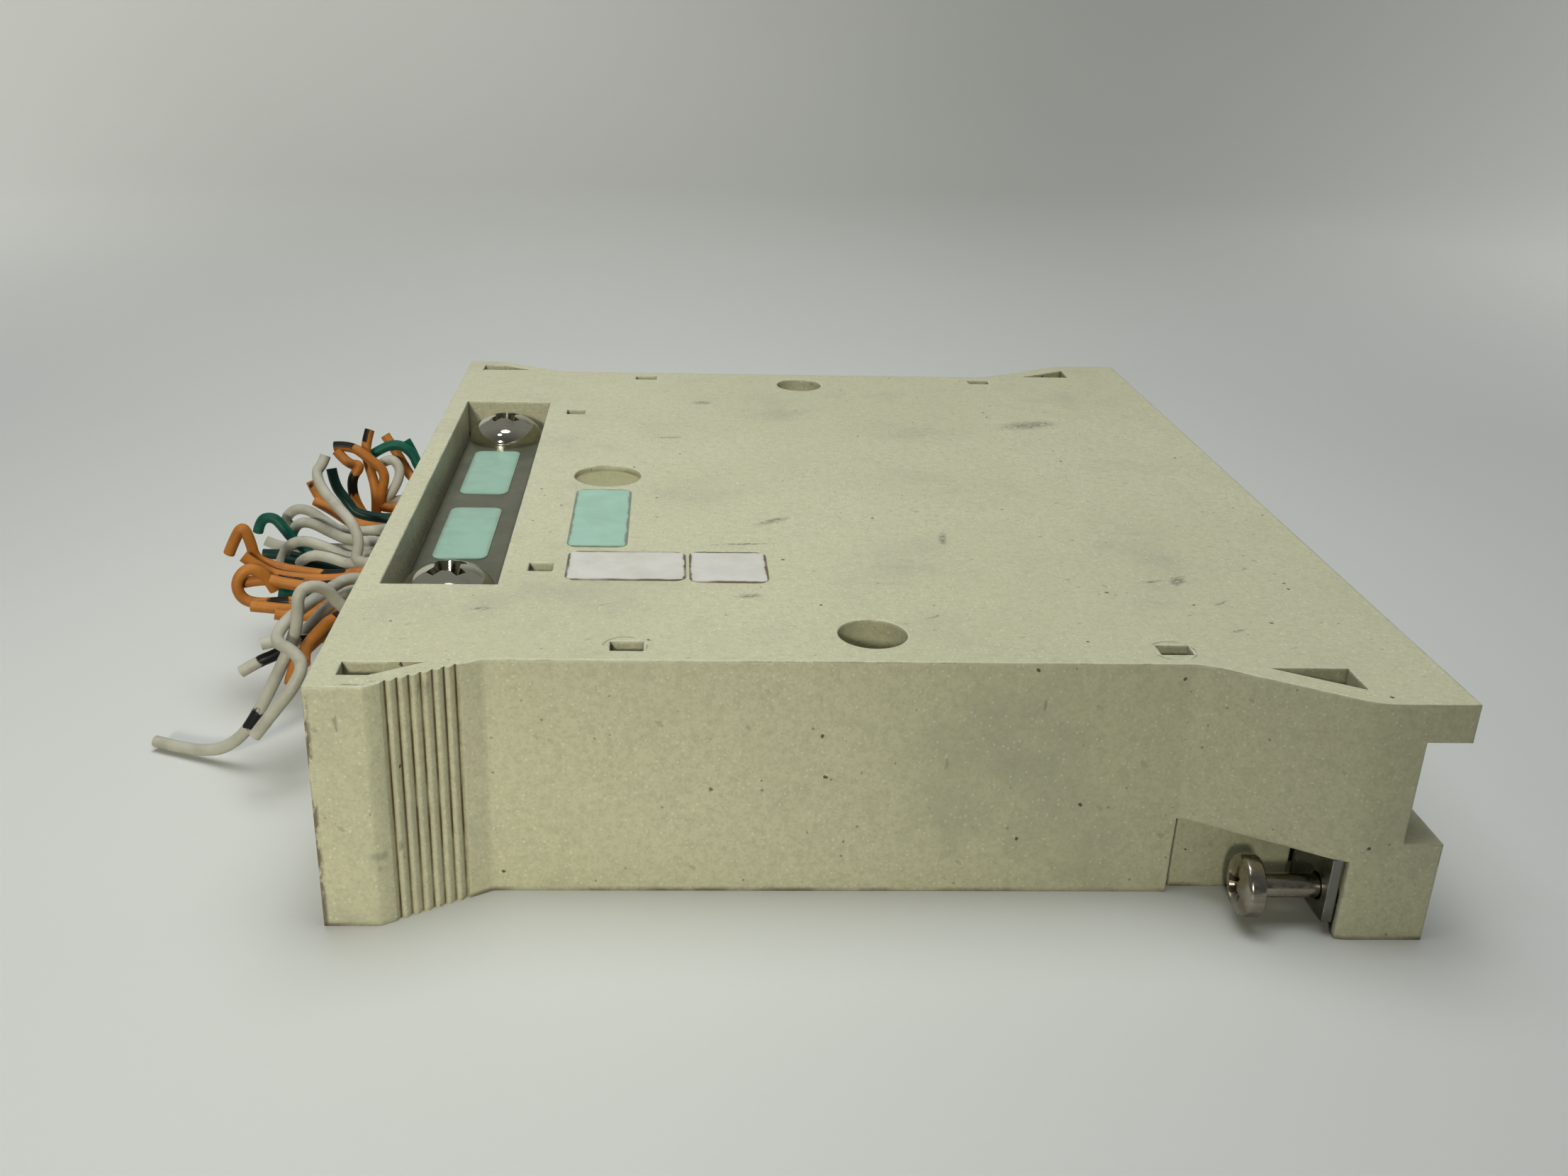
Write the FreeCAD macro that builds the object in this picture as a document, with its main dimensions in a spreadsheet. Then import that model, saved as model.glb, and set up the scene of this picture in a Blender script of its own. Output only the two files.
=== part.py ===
import FreeCAD, Part
import math
import os
import Sketcher
from types import SimpleNamespace

# Screw terminal block that plugs onto an instrument module.
# The block lies on its broad face: X runs from the wire end to the plug end, Y across, Z up.
# The origin is under the middle of the block, on the surface that it lies on.

# Driving dimensions in millimetres. A name ending in "from" is a distance from the front face,
# and one ending in "to_rear" a distance from the rear face.
SIZES = {
    # Cover, outside
    "cover_length": 125.0,
    "cover_height": 30.0,
    "waist_width": 127.2,
    "front_flare": 7.1,
    "rear_flare": 9.6,
    "front_flat": 6.4,
    "front_slant": 11.8,
    "rear_slant": 15.9,
    "rear_flat": 10.8,
    "front_corner_radius": 2.5,
    "waist_corner_radius": 4.0,
    "rear_waist_radius": 9.0,
    "rear_corner_radius": 8.0,
    # Cover, walls
    "side_wall": 2.5,
    "front_wall": 3.0,
    "rear_wall": 2.5,
    "top_wall": 2.5,
    "seam_gap": 0.3,
    "cut_overshoot": 2.5,
    # Grip grooves on the front slants
    "groove_from": 2.0,
    "groove_pitch": 1.15,
    "groove_width": 0.8,
    "groove_depth": 0.55,
    # Core-outs in the flared corners
    "front_core_wall": 3.0,
    "rear_core_wall": 3.5,
    "core_inset": 0.8,
    "front_core_floor": 6.0,
    "rear_core_floor": 3.8,
    # Rear channel, lip and lower flange
    "channel_depth": 5.0,
    "flange_height": 12.7,
    "flange_setback": 0.5,
    "lip_height": 4.6,
    "rear_gap_width": 99.2,
    # Window over the strain-relief bar
    "window_width": 14.4,
    "window_length": 84.0,
    "skirt_wall": 2.0,
    "skirt_depth": 5.8,
    # Wire exit slot
    "exit_width": 86.0,
    "wire_level": 18.2,
    "wire_space": 3.8,
    "exit_clearance": 0.9,
    # Round wells and the shallow recess in the top
    "well_from": 62.0,
    "well_inset": 7.6,
    "well_radius": 4.05,
    "well_wall": 2.1,
    "well_headroom": 2.4,
    "gate_from": 29.1,
    "gate_offset": 1.2,
    "gate_radius": 5.0,
    "gate_depth": 0.8,
    # Snap slots in the top, with the catches under them
    "slot_front_from": 33.8,
    "slot_to_rear": 28.9,
    "slot_length": 3.8,
    "slot_width": 2.5,
    "catch_reach": 1.0,
    "catch_level": 19.0,
    "catch_height": 2.0,
    "catch_clearance": 0.1,
    "window_slot_from": 22.2,
    "window_slot_spacing": 72.0,
    "window_slot_length": 3.1,
    "window_slot_width": 2.8,
    # Tray
    "tray_floor": 2.5,
    "sill_wall": 2.7,
    "ridge_from": 12.8,
    "tray_rear_wall": 3.0,
    "side_pad_wall": 2.8,
    "side_pad_inset": 1.2,
    "tongue_width": 8.0,
    "tongue_wall": 1.6,
    "post_radius": 5.2,
    "standoff_radius": 3.5,
    "pilot_radius": 1.25,
    "pilot_depth": 6.5,
    # Circuit board
    "board_from": 20.0,
    "board_to_rear": 9.0,
    "board_side_gap": 4.6,
    "board_level": 11.9,
    "board_thickness": 1.6,
    "board_hole_radius": 1.6,
    "board_screw_front_from": 26.0,
    "board_screw_front_inset": 6.5,
    "board_screw_to_rear": 31.0,
    "board_screw_rear_inset": 10.5,
    # Terminal strip
    "strip_from": 26.0,
    "strip_depth": 11.0,
    "strip_headroom": 2.5,
    "strip_chamfer": 2.5,
    "terminal_pitch": 5.0,
    "mouth_width": 3.4,
    "mouth_height": 3.6,
    "mouth_depth": 7.5,
    "clamp_plate": 0.6,
    "terminal_screw_radius": 1.5,
    "terminal_screw_bite": 0.5,
    "terminal_screw_recess": 1.0,
    "terminal_hole_clearance": 0.2,
    # Rear connector
    "connector_to_rear": 17.0,
    "connector_depth": 9.0,
    "connector_length": 94.0,
    "connector_headroom": 0.8,
    "plug_depth": 4.5,
    "plug_length": 85.0,
    "plug_height": 6.6,
    "contact_pitch": 2.54,
    "contact_row_pitch": 5.08,
    "contact_hole": 1.1,
    "contact_hole_depth": 3.5,
    "ear_height": 4.0,
    "ear_screw_to_rear": 13.0,
    "ear_screw_spacing": 89.6,
    "ear_hole_radius": 1.3,
    # Strain-relief bar and its screws
    "bar_width": 13.2,
    "bar_length": 82.0,
    "bar_recess": 4.5,
    "bar_sheet": 1.5,
    "bar_bend_radius": 1.2,
    "clamp_screw_from": 10.2,
    "clamp_screw_spacing": 69.6,
    "clamp_screw_radius": 3.0,
    "clamp_screw_reach": 8.3,
    "clamp_head_radius": 6.0,
    "clamp_head_height": 4.2,
    "bar_hole_clearance": 0.3,
    "insert_wall": 0.95,
    "insert_length": 10.0,
    "running_clearance": 0.05,
    # Captive mounting screws and their brackets
    "mount_inset": 3.7,
    "mount_level": 4.9,
    "mount_head_to_rear": 21.7,
    "mount_head_radius": 3.6,
    "mount_head_height": 2.7,
    "mount_neck_radius": 1.4,
    "mount_neck_length": 9.0,
    "mount_thread_radius": 2.0,
    "mount_thread_length": 9.2,
    "mount_slot_width": 5.0,
    "pocket_to_rear": 10.5,
    "pocket_height": 10.2,
    "bracket_sheet": 1.2,
    "bracket_overhang": 0.9,
    "bracket_bottom": 1.8,
    "bracket_clearance": 0.2,
    "bracket_hole_clearance": 0.25,
    "bracket_foot_level": 7.0,
    "bracket_foot_length": 12.4,
    "bracket_foot_width": 9.3,
    "bracket_screw_to_rear": 19.0,
    # Small pan-head screws
    "small_head_radius": 2.75,
    "small_head_height": 2.0,
    "small_shank_radius": 1.2,
    "small_shank_length": 6.0,
    "ear_head_radius": 2.2,
    "ear_head_height": 1.6,
    # Cross recesses in the large screw heads, as shares of the head
    "recess_arm": 0.55,
    "recess_width": 0.22,
    "recess_depth": 0.5,
    # Stickers
    "sticker_sheet": 0.12,
    "sticker_corner": 1.5,
    # Wires
    "wire_diameter": 1.7,
    "pair_diameter": 3.2,
}

GROOVES_PER_SIDE = 7
TERMINALS_PER_STRIP = 16
CONTACTS_PER_ROW = 32
CONTACT_ROWS = 2
NEAR = -1
FAR = 1
SMALL_ROUND_SIDES = 8
WIRE_SIDES = 4
BEND_SHARE = 0.45

# Dome of a large pan head: share of the head's radius, share of its height above the seat.
PAN_DOME = [(0.6, 1.0), (1.0, 0.45)]

# Stickers: what each lies on, its start from the front face, its middle across, its length and its width.
STICKERS = {
    "bar_sticker_far": ("bar", 6.1, 16.0, 7.4, 22.0),
    "bar_sticker_near": ("bar", 6.0, -11.8, 7.5, 21.0),
    "cover_sticker_mint": ("cover", 24.9, -17.2, 8.0, 23.4),
    "cover_sticker_wide": ("cover", 25.4, -35.5, 15.2, 9.8),
    "cover_sticker_square": ("cover", 41.0, -35.7, 10.0, 10.4),
}

# Cut-off wires: points from each one's terminal, through the exit slot, to its free end.
# Each point is its distance behind the front face, its place across and its height.
SINGLE_WIRES = {
    "white_wire_tail": [
        (25.7, -28.4, 18.2), (12.5, -29.0, 18.2), (-0.3, -28.2, 18.4), (-6.9, -29.6, 20.6),
        (-11.5, -32.8, 15.6), (-16.5, -34.6, 7.4), (-24.1, -32.8, 1.2), (-31.9, -29.6, 1.1),
    ],
    "white_wire_short": [
        (25.7, -26.6, 18.2), (12.5, -25.8, 18.2), (-0.3, -26.4, 17.6), (-4.9, -31.6, 15.4),
        (-9.1, -36.2, 17.0), (-8.5, -37.2, 22.6),
    ],
    "white_wire_bent": [
        (25.7, -18.4, 18.2), (12.5, -19.0, 18.2), (-0.3, -18.6, 18.6), (-6.3, -22.6, 22.4),
        (-13.5, -34.2, 20.6), (-10.9, -39.4, 15.4), (-14.5, -41.4, 9.2),
    ],
    "white_wire_stub": [
        (25.7, -16.6, 18.2), (12.5, -15.9, 18.2), (-0.3, -16.6, 17.8), (-7.7, -18.2, 13.8),
        (-14.9, -20.8, 12.2), (-21.5, -23.4, 9.6),
    ],
    "orange_wire_bent": [
        (25.7, -8.4, 18.2), (12.5, -9.1, 18.2), (-0.3, -8.6, 17.8), (-8.9, -9.8, 16.6),
        (-17.3, -10.4, 18.0), (-23.9, -10.8, 21.4),
    ],
    "orange_wire_hook": [
        (25.7, -6.6, 18.2), (12.5, -5.9, 18.2), (-0.3, -6.8, 18.2), (-9.1, -7.4, 17.4),
        (-17.1, -7.8, 18.8), (-22.1, -8.0, 23.2), (-25.9, -8.2, 23.4), (-26.7, -8.3, 20.2),
    ],
}
WIRE_PAIRS = {
    "orange_pair_low": [
        (25.7, -22.5, 18.2), (11.5, -21.8, 18.2), (-2.5, -22.4, 18.2), (-7.9, -24.6, 13.8),
        (-9.7, -29.8, 10.6), (-11.3, -34.4, 8.4),
    ],
    "orange_pair_loop": [
        (25.7, -12.5, 18.2), (11.5, -13.2, 18.2), (-2.5, -12.6, 18.2), (-9.9, -13.4, 14.6),
        (-19.1, -14.2, 13.6), (-23.7, -13.6, 17.4), (-21.9, -13.0, 22.0),
    ],
    "white_pair_upright": [
        (25.7, -2.5, 18.2), (11.5, -3.2, 18.2), (-2.5, -2.6, 18.2), (-9.3, -3.0, 16.4),
        (-11.5, 0.4, 21.8), (-15.1, 6.6, 24.8), (-16.1, 11.0, 28.6),
    ],
    "white_pair_curl": [
        (25.7, 2.5, 18.2), (11.5, 1.8, 18.2), (-2.5, 2.4, 18.2), (-9.9, 2.6, 15.8),
        (-17.3, 2.4, 18.2), (-22.5, 2.8, 14.2),
    ],
    "green_pair_loop": [
        (25.7, 7.5, 18.2), (11.5, 6.8, 18.2), (-2.5, 7.2, 18.2), (-9.7, 6.6, 13.6),
        (-18.1, 6.6, 13.0), (-24.7, 7.8, 17.0), (-23.7, 8.4, 22.4),
    ],
    "white_pair_arch": [
        (25.7, 12.5, 18.2), (11.5, 11.8, 18.2), (-2.5, 12.4, 18.2), (-10.1, 11.8, 15.6),
        (-18.5, 12.0, 19.6), (-23.9, 12.4, 17.4),
    ],
    "orange_pair_far": [
        (25.7, 22.5, 18.2), (11.5, 21.8, 18.2), (-2.5, 22.4, 18.2), (-9.3, 21.6, 15.4),
        (-12.3, 21.8, 20.6), (-12.9, 23.4, 26.2),
    ],
    "green_pair_far": [
        (25.7, 27.5, 18.2), (11.0, 26.8, 18.2), (-2.5, 27.4, 18.0), (-6.9, 27.6, 24.4),
        (-12.1, 27.2, 25.0),
    ],
}


class Size:
    """A length, kept as a number and as the sheet expression that gives the same number."""

    def __init__(self, value, text):
        self.value = value
        self.text = text

    def __add__(self, other):
        other = as_size(other)
        return Size(self.value + other.value, f"({self.text} + {other.text})")

    def __sub__(self, other):
        other = as_size(other)
        return Size(self.value - other.value, f"({self.text} - {other.text})")

    def __mul__(self, other):
        other = as_size(other)
        return Size(self.value * other.value, f"({self.text} * {other.text})")

    def __truediv__(self, other):
        other = as_size(other)
        return Size(self.value / other.value, f"({self.text} / {other.text})")

    def __neg__(self):
        return Size(-self.value, f"(0 - {self.text})")


def as_size(number):
    """A plain number as a size without a cell of its own."""
    return number if isinstance(number, Size) else Size(float(number), f"({float(number)})")


doc = FreeCAD.newDocument("terminal_block")
sheet = doc.addObject("Spreadsheet::Sheet", "Sizes")
for row, (alias, number) in enumerate(SIZES.items(), start=1):
    sheet.set(f"A{row}", alias.replace("_", " "))
    sheet.set(f"B{row}", str(number))
    sheet.setAlias(f"B{row}", alias)
doc.recompute()
d = SimpleNamespace(**{alias: Size(number, f"Sizes.{alias}") for alias, number in SIZES.items()})


def rectangle(x_low, x_high, y_low, y_high):
    """Corner points of a rectangle in a sketch."""
    return [(x_low, y_low), (x_high, y_low), (x_high, y_high), (x_low, y_high)]


def across(x_low, x_high, half_width):
    """Rectangle centred on the block's middle line."""
    return rectangle(x_low, x_high, -half_width, half_width)


def both_sides(make_loop):
    """The same loop on the near side and on the far side."""
    return [make_loop(NEAR), make_loop(FAR)]


def small_round(x, y, radius):
    """Corner points of a small round form inside the block, drawn with a few flats."""
    corners = []
    for index in range(SMALL_ROUND_SIDES):
        angle = 2 * math.pi * (index + 0.5) / SMALL_ROUND_SIDES
        corners.append((x + radius * math.cos(angle), y + radius * math.sin(angle)))
    return corners


def cross_shape(radius):
    """Outline of a cross recess in the middle of a screw head of the given radius."""
    arm = radius * d.recess_arm
    half = radius * d.recess_width / 2
    return [
        (-arm, -half), (-half, -half), (-half, -arm), (half, -arm), (half, -half), (arm, -half),
        (arm, half), (half, half), (half, arm), (-half, arm), (-half, half), (-arm, half),
    ]


class Piece:
    """One sub-part: a body built from sketches on its origin planes, padded or cut along their normals."""

    def __init__(self, label):
        self.label = label
        self.body = doc.addObject("PartDesign::Body", label)
        self.body.Label = label
        self.planes = {feature.Role: feature for feature in self.body.Origin.OriginFeatures}
        pieces.append(self)

    def sketch(self, name, plane, offset, loops):
        """Sketch with closed loops of corner points, or circles given as centre and radius."""
        sketch = self.body.newObject("Sketcher::SketchObject", f"{self.label}_{name}_sketch")
        sketch.AttachmentSupport = (self.planes[plane], "")
        sketch.MapMode = "FlatFace"
        sketch.AttachmentOffset = FreeCAD.Placement(FreeCAD.Vector(0, 0, offset.value), FreeCAD.Rotation())
        sketch.setExpression("AttachmentOffset.Base.z", offset.text)
        for loop in loops:
            if isinstance(loop, tuple):
                self.add_circle(sketch, *loop)
            else:
                self.add_polygon(sketch, loop)
        return sketch

    def add_polygon(self, sketch, corners):
        first = sketch.GeometryCount
        count = len(corners)
        points = [FreeCAD.Vector(x.value, y.value, 0) for x, y in corners]
        for index in range(count):
            sketch.addGeometry(Part.LineSegment(points[index], points[(index + 1) % count]), False)
        for index in range(count):
            following = first + (index + 1) % count
            sketch.addConstraint(Sketcher.Constraint("Coincident", first + index, 2, following, 1))
        for index, (x, y) in enumerate(corners):
            self.hold(sketch, "DistanceX", first + index, 1, x)
            self.hold(sketch, "DistanceY", first + index, 1, y)

    def add_circle(self, sketch, x, y, radius):
        index = sketch.GeometryCount
        centre = FreeCAD.Vector(x.value, y.value, 0)
        sketch.addGeometry(Part.Circle(centre, FreeCAD.Vector(0, 0, 1), radius.value), False)
        number = sketch.addConstraint(Sketcher.Constraint("Radius", index, radius.value))
        sketch.setExpression(f"Constraints[{number}]", radius.text)
        self.hold(sketch, "DistanceX", index, 3, x)
        self.hold(sketch, "DistanceY", index, 3, y)

    @staticmethod
    def hold(sketch, kind, geometry, point, size):
        """Dimension from the sketch origin to a point, bound to the sheet."""
        constraint = Sketcher.Constraint(kind, -1, 1, geometry, point, size.value)
        number = sketch.addConstraint(constraint)
        sketch.setExpression(f"Constraints[{number}]", size.text)

    def pad(self, name, low, high, loops, plane="XY_Plane"):
        """Material between two levels along the plane's normal."""
        feature = self.body.newObject("PartDesign::Pad", f"{self.label}_{name}")
        feature.Profile = self.sketch(name, plane, low, loops)
        feature.setExpression("Length", (high - low).text)
        return self.finish(feature)

    def cut(self, name, low, high, loops, plane="XY_Plane"):
        """Material taken away between two levels along the plane's normal."""
        before = self.body.Shape.Volume
        feature = self.body.newObject("PartDesign::Pocket", f"{self.label}_{name}")
        feature.Profile = self.sketch(name, plane, low, loops)
        feature.setExpression("Length", (high - low).text)
        feature.Reversed = True
        self.finish(feature)
        if not self.body.Shape.Volume < before:
            raise RuntimeError(f"{self.label}: {name} takes nothing away")
        return feature

    def turn(self, name, profile):
        """Turned solid: a closed profile of radius and height, spun about the Z axis."""
        feature = self.body.newObject("PartDesign::Revolution", f"{self.label}_{name}")
        sketch = self.sketch(name, "XZ_Plane", as_size(0), [profile])
        feature.Profile = sketch
        feature.ReferenceAxis = (sketch, ["V_Axis"])
        feature.Angle = 360
        return self.finish(feature)

    def place(self, x, y, z, rotation):
        """Moves the finished body from its own axes to its place on the block."""
        self.body.Placement = FreeCAD.Placement(FreeCAD.Vector(x.value, y.value, z.value), rotation)
        for axis, size in (("x", x), ("y", y), ("z", z)):
            self.body.setExpression(f"Placement.Base.{axis}", size.text)
        doc.recompute()

    def repeat(self, name, features, direction, pitch, count):
        """Straight row of features along an origin axis."""
        pattern = self.body.newObject("PartDesign::LinearPattern", f"{self.label}_{name}")
        pattern.Originals = features
        pattern.Direction = (self.planes[direction], [""])
        pattern.setExpression("Length", (pitch * (count - 1)).text)
        pattern.Occurrences = count
        return self.finish(pattern)

    def round_edges(self, name, radius, chosen):
        """Fillet on every edge that the test picks."""
        tip = self.body.Tip
        names = [f"Edge{index}" for index, edge in enumerate(tip.Shape.Edges, start=1) if chosen(edge)]
        if not names:
            raise RuntimeError(f"{self.label}: {name} finds no edge")
        fillet = self.body.newObject("PartDesign::Fillet", f"{self.label}_{name}")
        fillet.Base = (tip, names)
        fillet.setExpression("Radius", radius.text)
        return self.finish(fillet)

    def finish(self, feature):
        self.body.Tip = feature
        doc.recompute()
        return feature


pieces = []


def upright_at(points):
    """Test for edges along Z that stand on one of the given plan points."""
    places = [(x.value, y.value) for x, y in points]

    def chosen(edge):
        box = edge.BoundBox
        if max(box.XLength, box.YLength) > 1e-4:
            return False
        return any(math.hypot(box.XMin - x, box.YMin - y) < 1e-3 for x, y in places)

    return chosen


# Places that several pieces share.
nought = as_size(0)
front = -d.cover_length / 2
rear = d.cover_length / 2
waist_half = d.waist_width / 2
front_half = waist_half + d.front_flare
rear_half = waist_half + d.rear_flare
front_slant_start = front + d.front_flat
front_slant_end = front_slant_start + d.front_slant
rear_slant_end = rear - d.rear_flat
rear_slant_start = rear_slant_end - d.rear_slant
cavity_half = waist_half - d.side_wall
cavity_front = front + d.front_wall
cavity_rear = rear - d.channel_depth - d.rear_wall
ceiling = d.cover_height - d.top_wall
lip_level = d.cover_height - d.lip_height
window_end = cavity_front + d.window_width
exit_low = d.wire_level - d.wire_space / 2
exit_high = d.wire_level + d.wire_space / 2
exit_half = d.exit_width / 2
rear_gap_half = d.rear_gap_width / 2
pocket_end = rear - d.pocket_to_rear
mount_half = rear_half - d.mount_inset
board_top = d.board_level + d.board_thickness
board_half = cavity_half - d.board_side_gap
bar_level = d.cover_height - d.bar_recess
clamp_x = front + d.clamp_screw_from
clamp_half = d.clamp_screw_spacing / 2
clamp_places = [(clamp_x, -clamp_half), (clamp_x, clamp_half)]
insert_radius = d.clamp_screw_radius + d.running_clearance + d.insert_wall
beyond = d.cut_overshoot
side_pad_outer = waist_half - d.side_pad_inset
side_pad_inner = side_pad_outer - d.side_pad_wall
bracket_foot_outer = side_pad_inner - d.seam_gap
bracket_inner = bracket_foot_outer - d.bracket_foot_width
bracket_end = pocket_end - d.seam_gap
bracket_start = bracket_end - d.bracket_sheet
slot_middles = [front + d.slot_front_from, rear - d.slot_to_rear]


def cover_outline():
    """Dog-bone plan of the cover: flared front corners, narrow waist, wider flared rear corners."""
    near_edge = [
        (front, -front_half), (front_slant_start, -front_half), (front_slant_end, -waist_half),
        (rear_slant_start, -waist_half), (rear_slant_end, -rear_half), (rear, -rear_half),
    ]
    far_edge = [(x, -y) for x, y in reversed(near_edge)]
    return near_edge + far_edge


def grip_groove(side, number):
    """One vee groove across a front slant."""
    slope = d.front_flare / d.front_slant
    along = d.groove_from + d.groove_pitch * number
    half = d.groove_width / 2
    middle = front_half - slope * along
    rise = slope * half
    x = front_slant_start + along
    clear = d.groove_depth / 2
    return [
        (x - half, (middle + rise) * side), (x, (middle - d.groove_depth) * side),
        (x + half, (middle - rise) * side), (x + half, (middle + clear) * side),
        (x - half, (middle + rise + clear) * side),
    ]


def front_core(side):
    """Core-out in a front corner: it leaves an even wall inside the flat and the slant."""
    outer = front_half - d.front_core_wall
    inner = waist_half + d.core_inset
    tip = front_slant_start + (outer - inner) * d.front_slant / d.front_flare
    start = front + d.front_core_wall
    corners = [(start, outer), (front_slant_start, outer), (tip, inner), (start, inner)]
    return [(x, y * side) for x, y in corners]


def rear_core(side):
    """Three-cornered core-out behind a rear slant."""
    inner = waist_half + d.core_inset
    outer = rear_half - d.rear_core_wall
    tip = rear_slant_start + (d.rear_core_wall + d.core_inset) * d.rear_slant / d.rear_flare
    return [(tip, inner * side), (rear_slant_end, inner * side), (rear_slant_end, outer * side)]


def make_cover():
    cover = Piece("cover")
    outline = cover_outline()
    cover.pad("block", nought, d.cover_height, [outline])
    corners = [
        ("front_corners", d.front_corner_radius, front_slant_start, front_half),
        ("front_waist", d.waist_corner_radius, front_slant_end, waist_half),
        ("rear_waist", d.rear_waist_radius, rear_slant_start, waist_half),
        ("rear_corners", d.rear_corner_radius, rear_slant_end, rear_half),
    ]
    for name, radius, x, half in corners:
        cover.round_edges(name, radius, upright_at([(x, -half), (x, half)]))
    cover.cut("cavity", nought, ceiling, [across(cavity_front, cavity_rear, cavity_half)])
    cover.cut("channel", d.flange_height, lip_level,
              [across(rear - d.channel_depth, rear + beyond, rear_half + beyond)])
    cover.cut("flange_face", nought, d.flange_height,
              [across(rear - d.flange_setback, rear + beyond, rear_half + beyond)])
    cover.cut("rear_gap", nought, lip_level, [across(cavity_rear - beyond, rear + beyond, rear_gap_half)])
    cover.cut("wire_exit", nought, exit_high + d.exit_clearance,
              [across(front - beyond, cavity_front + beyond, exit_half)])
    make_window(cover)
    make_wells(cover)
    make_snap_slots(cover)
    make_screw_pockets(cover)
    cover.cut("front_cores", d.front_core_floor, d.cover_height, both_sides(front_core))
    cover.cut("rear_cores", d.pocket_height + d.rear_core_floor, d.cover_height, both_sides(rear_core))
    grooves = [grip_groove(side, number) for side in (NEAR, FAR) for number in range(GROOVES_PER_SIDE)]
    cover.cut("grip_grooves", nought, d.cover_height, grooves)


def make_window(cover):
    """Window with a skirt that reaches down beside the strain-relief bar."""
    half = d.window_length / 2
    skirt_low = d.cover_height - d.skirt_depth
    cover.pad("skirt", skirt_low, d.cover_height,
              [across(cavity_front - d.front_wall / 2, window_end + d.skirt_wall, half + d.skirt_wall)])
    cover.cut("window", skirt_low, d.cover_height, [across(cavity_front, window_end, half)])


def make_wells(cover):
    """Two deep round wells with a closed boss, and the shallow gate recess."""
    x = front + d.well_from
    half = waist_half - d.well_inset
    boss_low = board_top + d.well_headroom
    boss = d.well_radius + d.well_wall
    cover.pad("well_bosses", boss_low, d.cover_height, [(x, -half, boss), (x, half, boss)])
    cover.cut("wells", boss_low + d.well_wall, d.cover_height,
              [(x, -half, d.well_radius), (x, half, d.well_radius)])
    cover.cut("gate_recess", d.cover_height - d.gate_depth, d.cover_height,
              [(front + d.gate_from, d.gate_offset, d.gate_radius)])


def make_snap_slots(cover):
    """Catches on the side walls, and the slots that their cores leave in the top."""
    half = d.slot_length / 2
    inner = cavity_half - d.catch_reach
    catches = []
    slots = []
    for x in slot_middles:
        catches += both_sides(lambda side: rectangle(x - half, x + half, inner * side,
                                                     (waist_half - d.side_wall / 2) * side))
        slots += both_sides(lambda side: rectangle(x - half, x + half, (cavity_half - d.slot_width) * side,
                                                   cavity_half * side))
    cover.pad("catches", d.catch_level, d.catch_level + d.catch_height, catches)
    middle = d.window_slot_spacing / 2
    x = front + d.window_slot_from
    half_x = d.window_slot_length / 2
    half_y = d.window_slot_width / 2
    slots += both_sides(lambda side: rectangle(x - half_x, x + half_x, (middle - half_y) * side,
                                               (middle + half_y) * side))
    cover.cut("snap_slots", ceiling - beyond, d.cover_height, slots)


def make_screw_pockets(cover):
    """Open pockets under the rear flares, with a slot through the corner block for each captive screw."""
    outer = rear_half + beyond
    cover.cut("screw_pockets", nought, d.pocket_height,
              both_sides(lambda side: rectangle(rear_slant_start, pocket_end,
                                                (cavity_half - d.side_wall / 2) * side, outer * side)))
    half = d.mount_slot_width / 2
    slot_start = pocket_end - beyond
    cover.cut("screw_slots", nought, d.mount_level,
              both_sides(lambda side: rectangle(slot_start, rear + beyond, mount_half * side - half,
                                                mount_half * side + half)))
    cover.cut("screw_slot_tops", slot_start, rear + beyond,
              [(-mount_half, d.mount_level, half), (mount_half, d.mount_level, half)], plane="YZ_Plane")


def make_tray():
    tray = Piece("tray")
    floor_front = cavity_front + d.seam_gap
    floor_rear = cavity_rear - d.seam_gap
    floor_half = cavity_half - d.seam_gap
    sill_half = exit_half - d.seam_gap
    rear_half_gap = rear_gap_half - d.seam_gap
    tray.pad("floor", nought, d.tray_floor, [across(floor_front, floor_rear, floor_half)])
    tray.pad("wire_sill", nought, exit_low, [across(front, floor_front + d.sill_wall / 2, sill_half)])
    ridge = front + d.ridge_from
    tray.pad("wire_ridge", nought, exit_low, [across(ridge, ridge + d.sill_wall, sill_half)])
    tray.pad("clamp_posts", nought, exit_low, [small_round(x, y, d.post_radius) for x, y in clamp_places])
    insert_hole = insert_radius + d.running_clearance
    tray.cut("insert_holes", exit_low - d.insert_length, exit_low,
             [small_round(x, y, insert_hole) for x, y in clamp_places])
    back = rear - d.flange_setback
    tray.pad("rear_floor", nought, d.tray_floor,
             [across(floor_rear - beyond, back - d.tray_rear_wall / 2, rear_half_gap)])
    tray.pad("rear_wall", nought, d.flange_height, [across(back - d.tray_rear_wall, back, rear_half_gap)])
    pad_front = rear_slant_start + d.seam_gap
    tray.pad("side_pads", nought, d.pocket_height - d.bracket_clearance,
             both_sides(lambda side: rectangle(pad_front, bracket_start - d.seam_gap, side_pad_inner * side,
                                               side_pad_outer * side)))
    make_standoffs(tray)
    make_tongues(tray)


def board_screw_places():
    """Plan points of the four board screws."""
    front_x = front + d.board_screw_front_from
    rear_x = rear - d.board_screw_to_rear
    front_y = board_half - d.board_screw_front_inset
    rear_y = board_half - d.board_screw_rear_inset
    return [(front_x, -front_y), (front_x, front_y), (rear_x, -rear_y), (rear_x, rear_y)]


def bracket_screw_places():
    """Plan points of the two bracket screws, in the middle of each foot's width."""
    x = rear - d.bracket_screw_to_rear
    y = (bracket_inner + bracket_foot_outer) / 2
    return [(x, -y), (x, y)]


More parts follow.
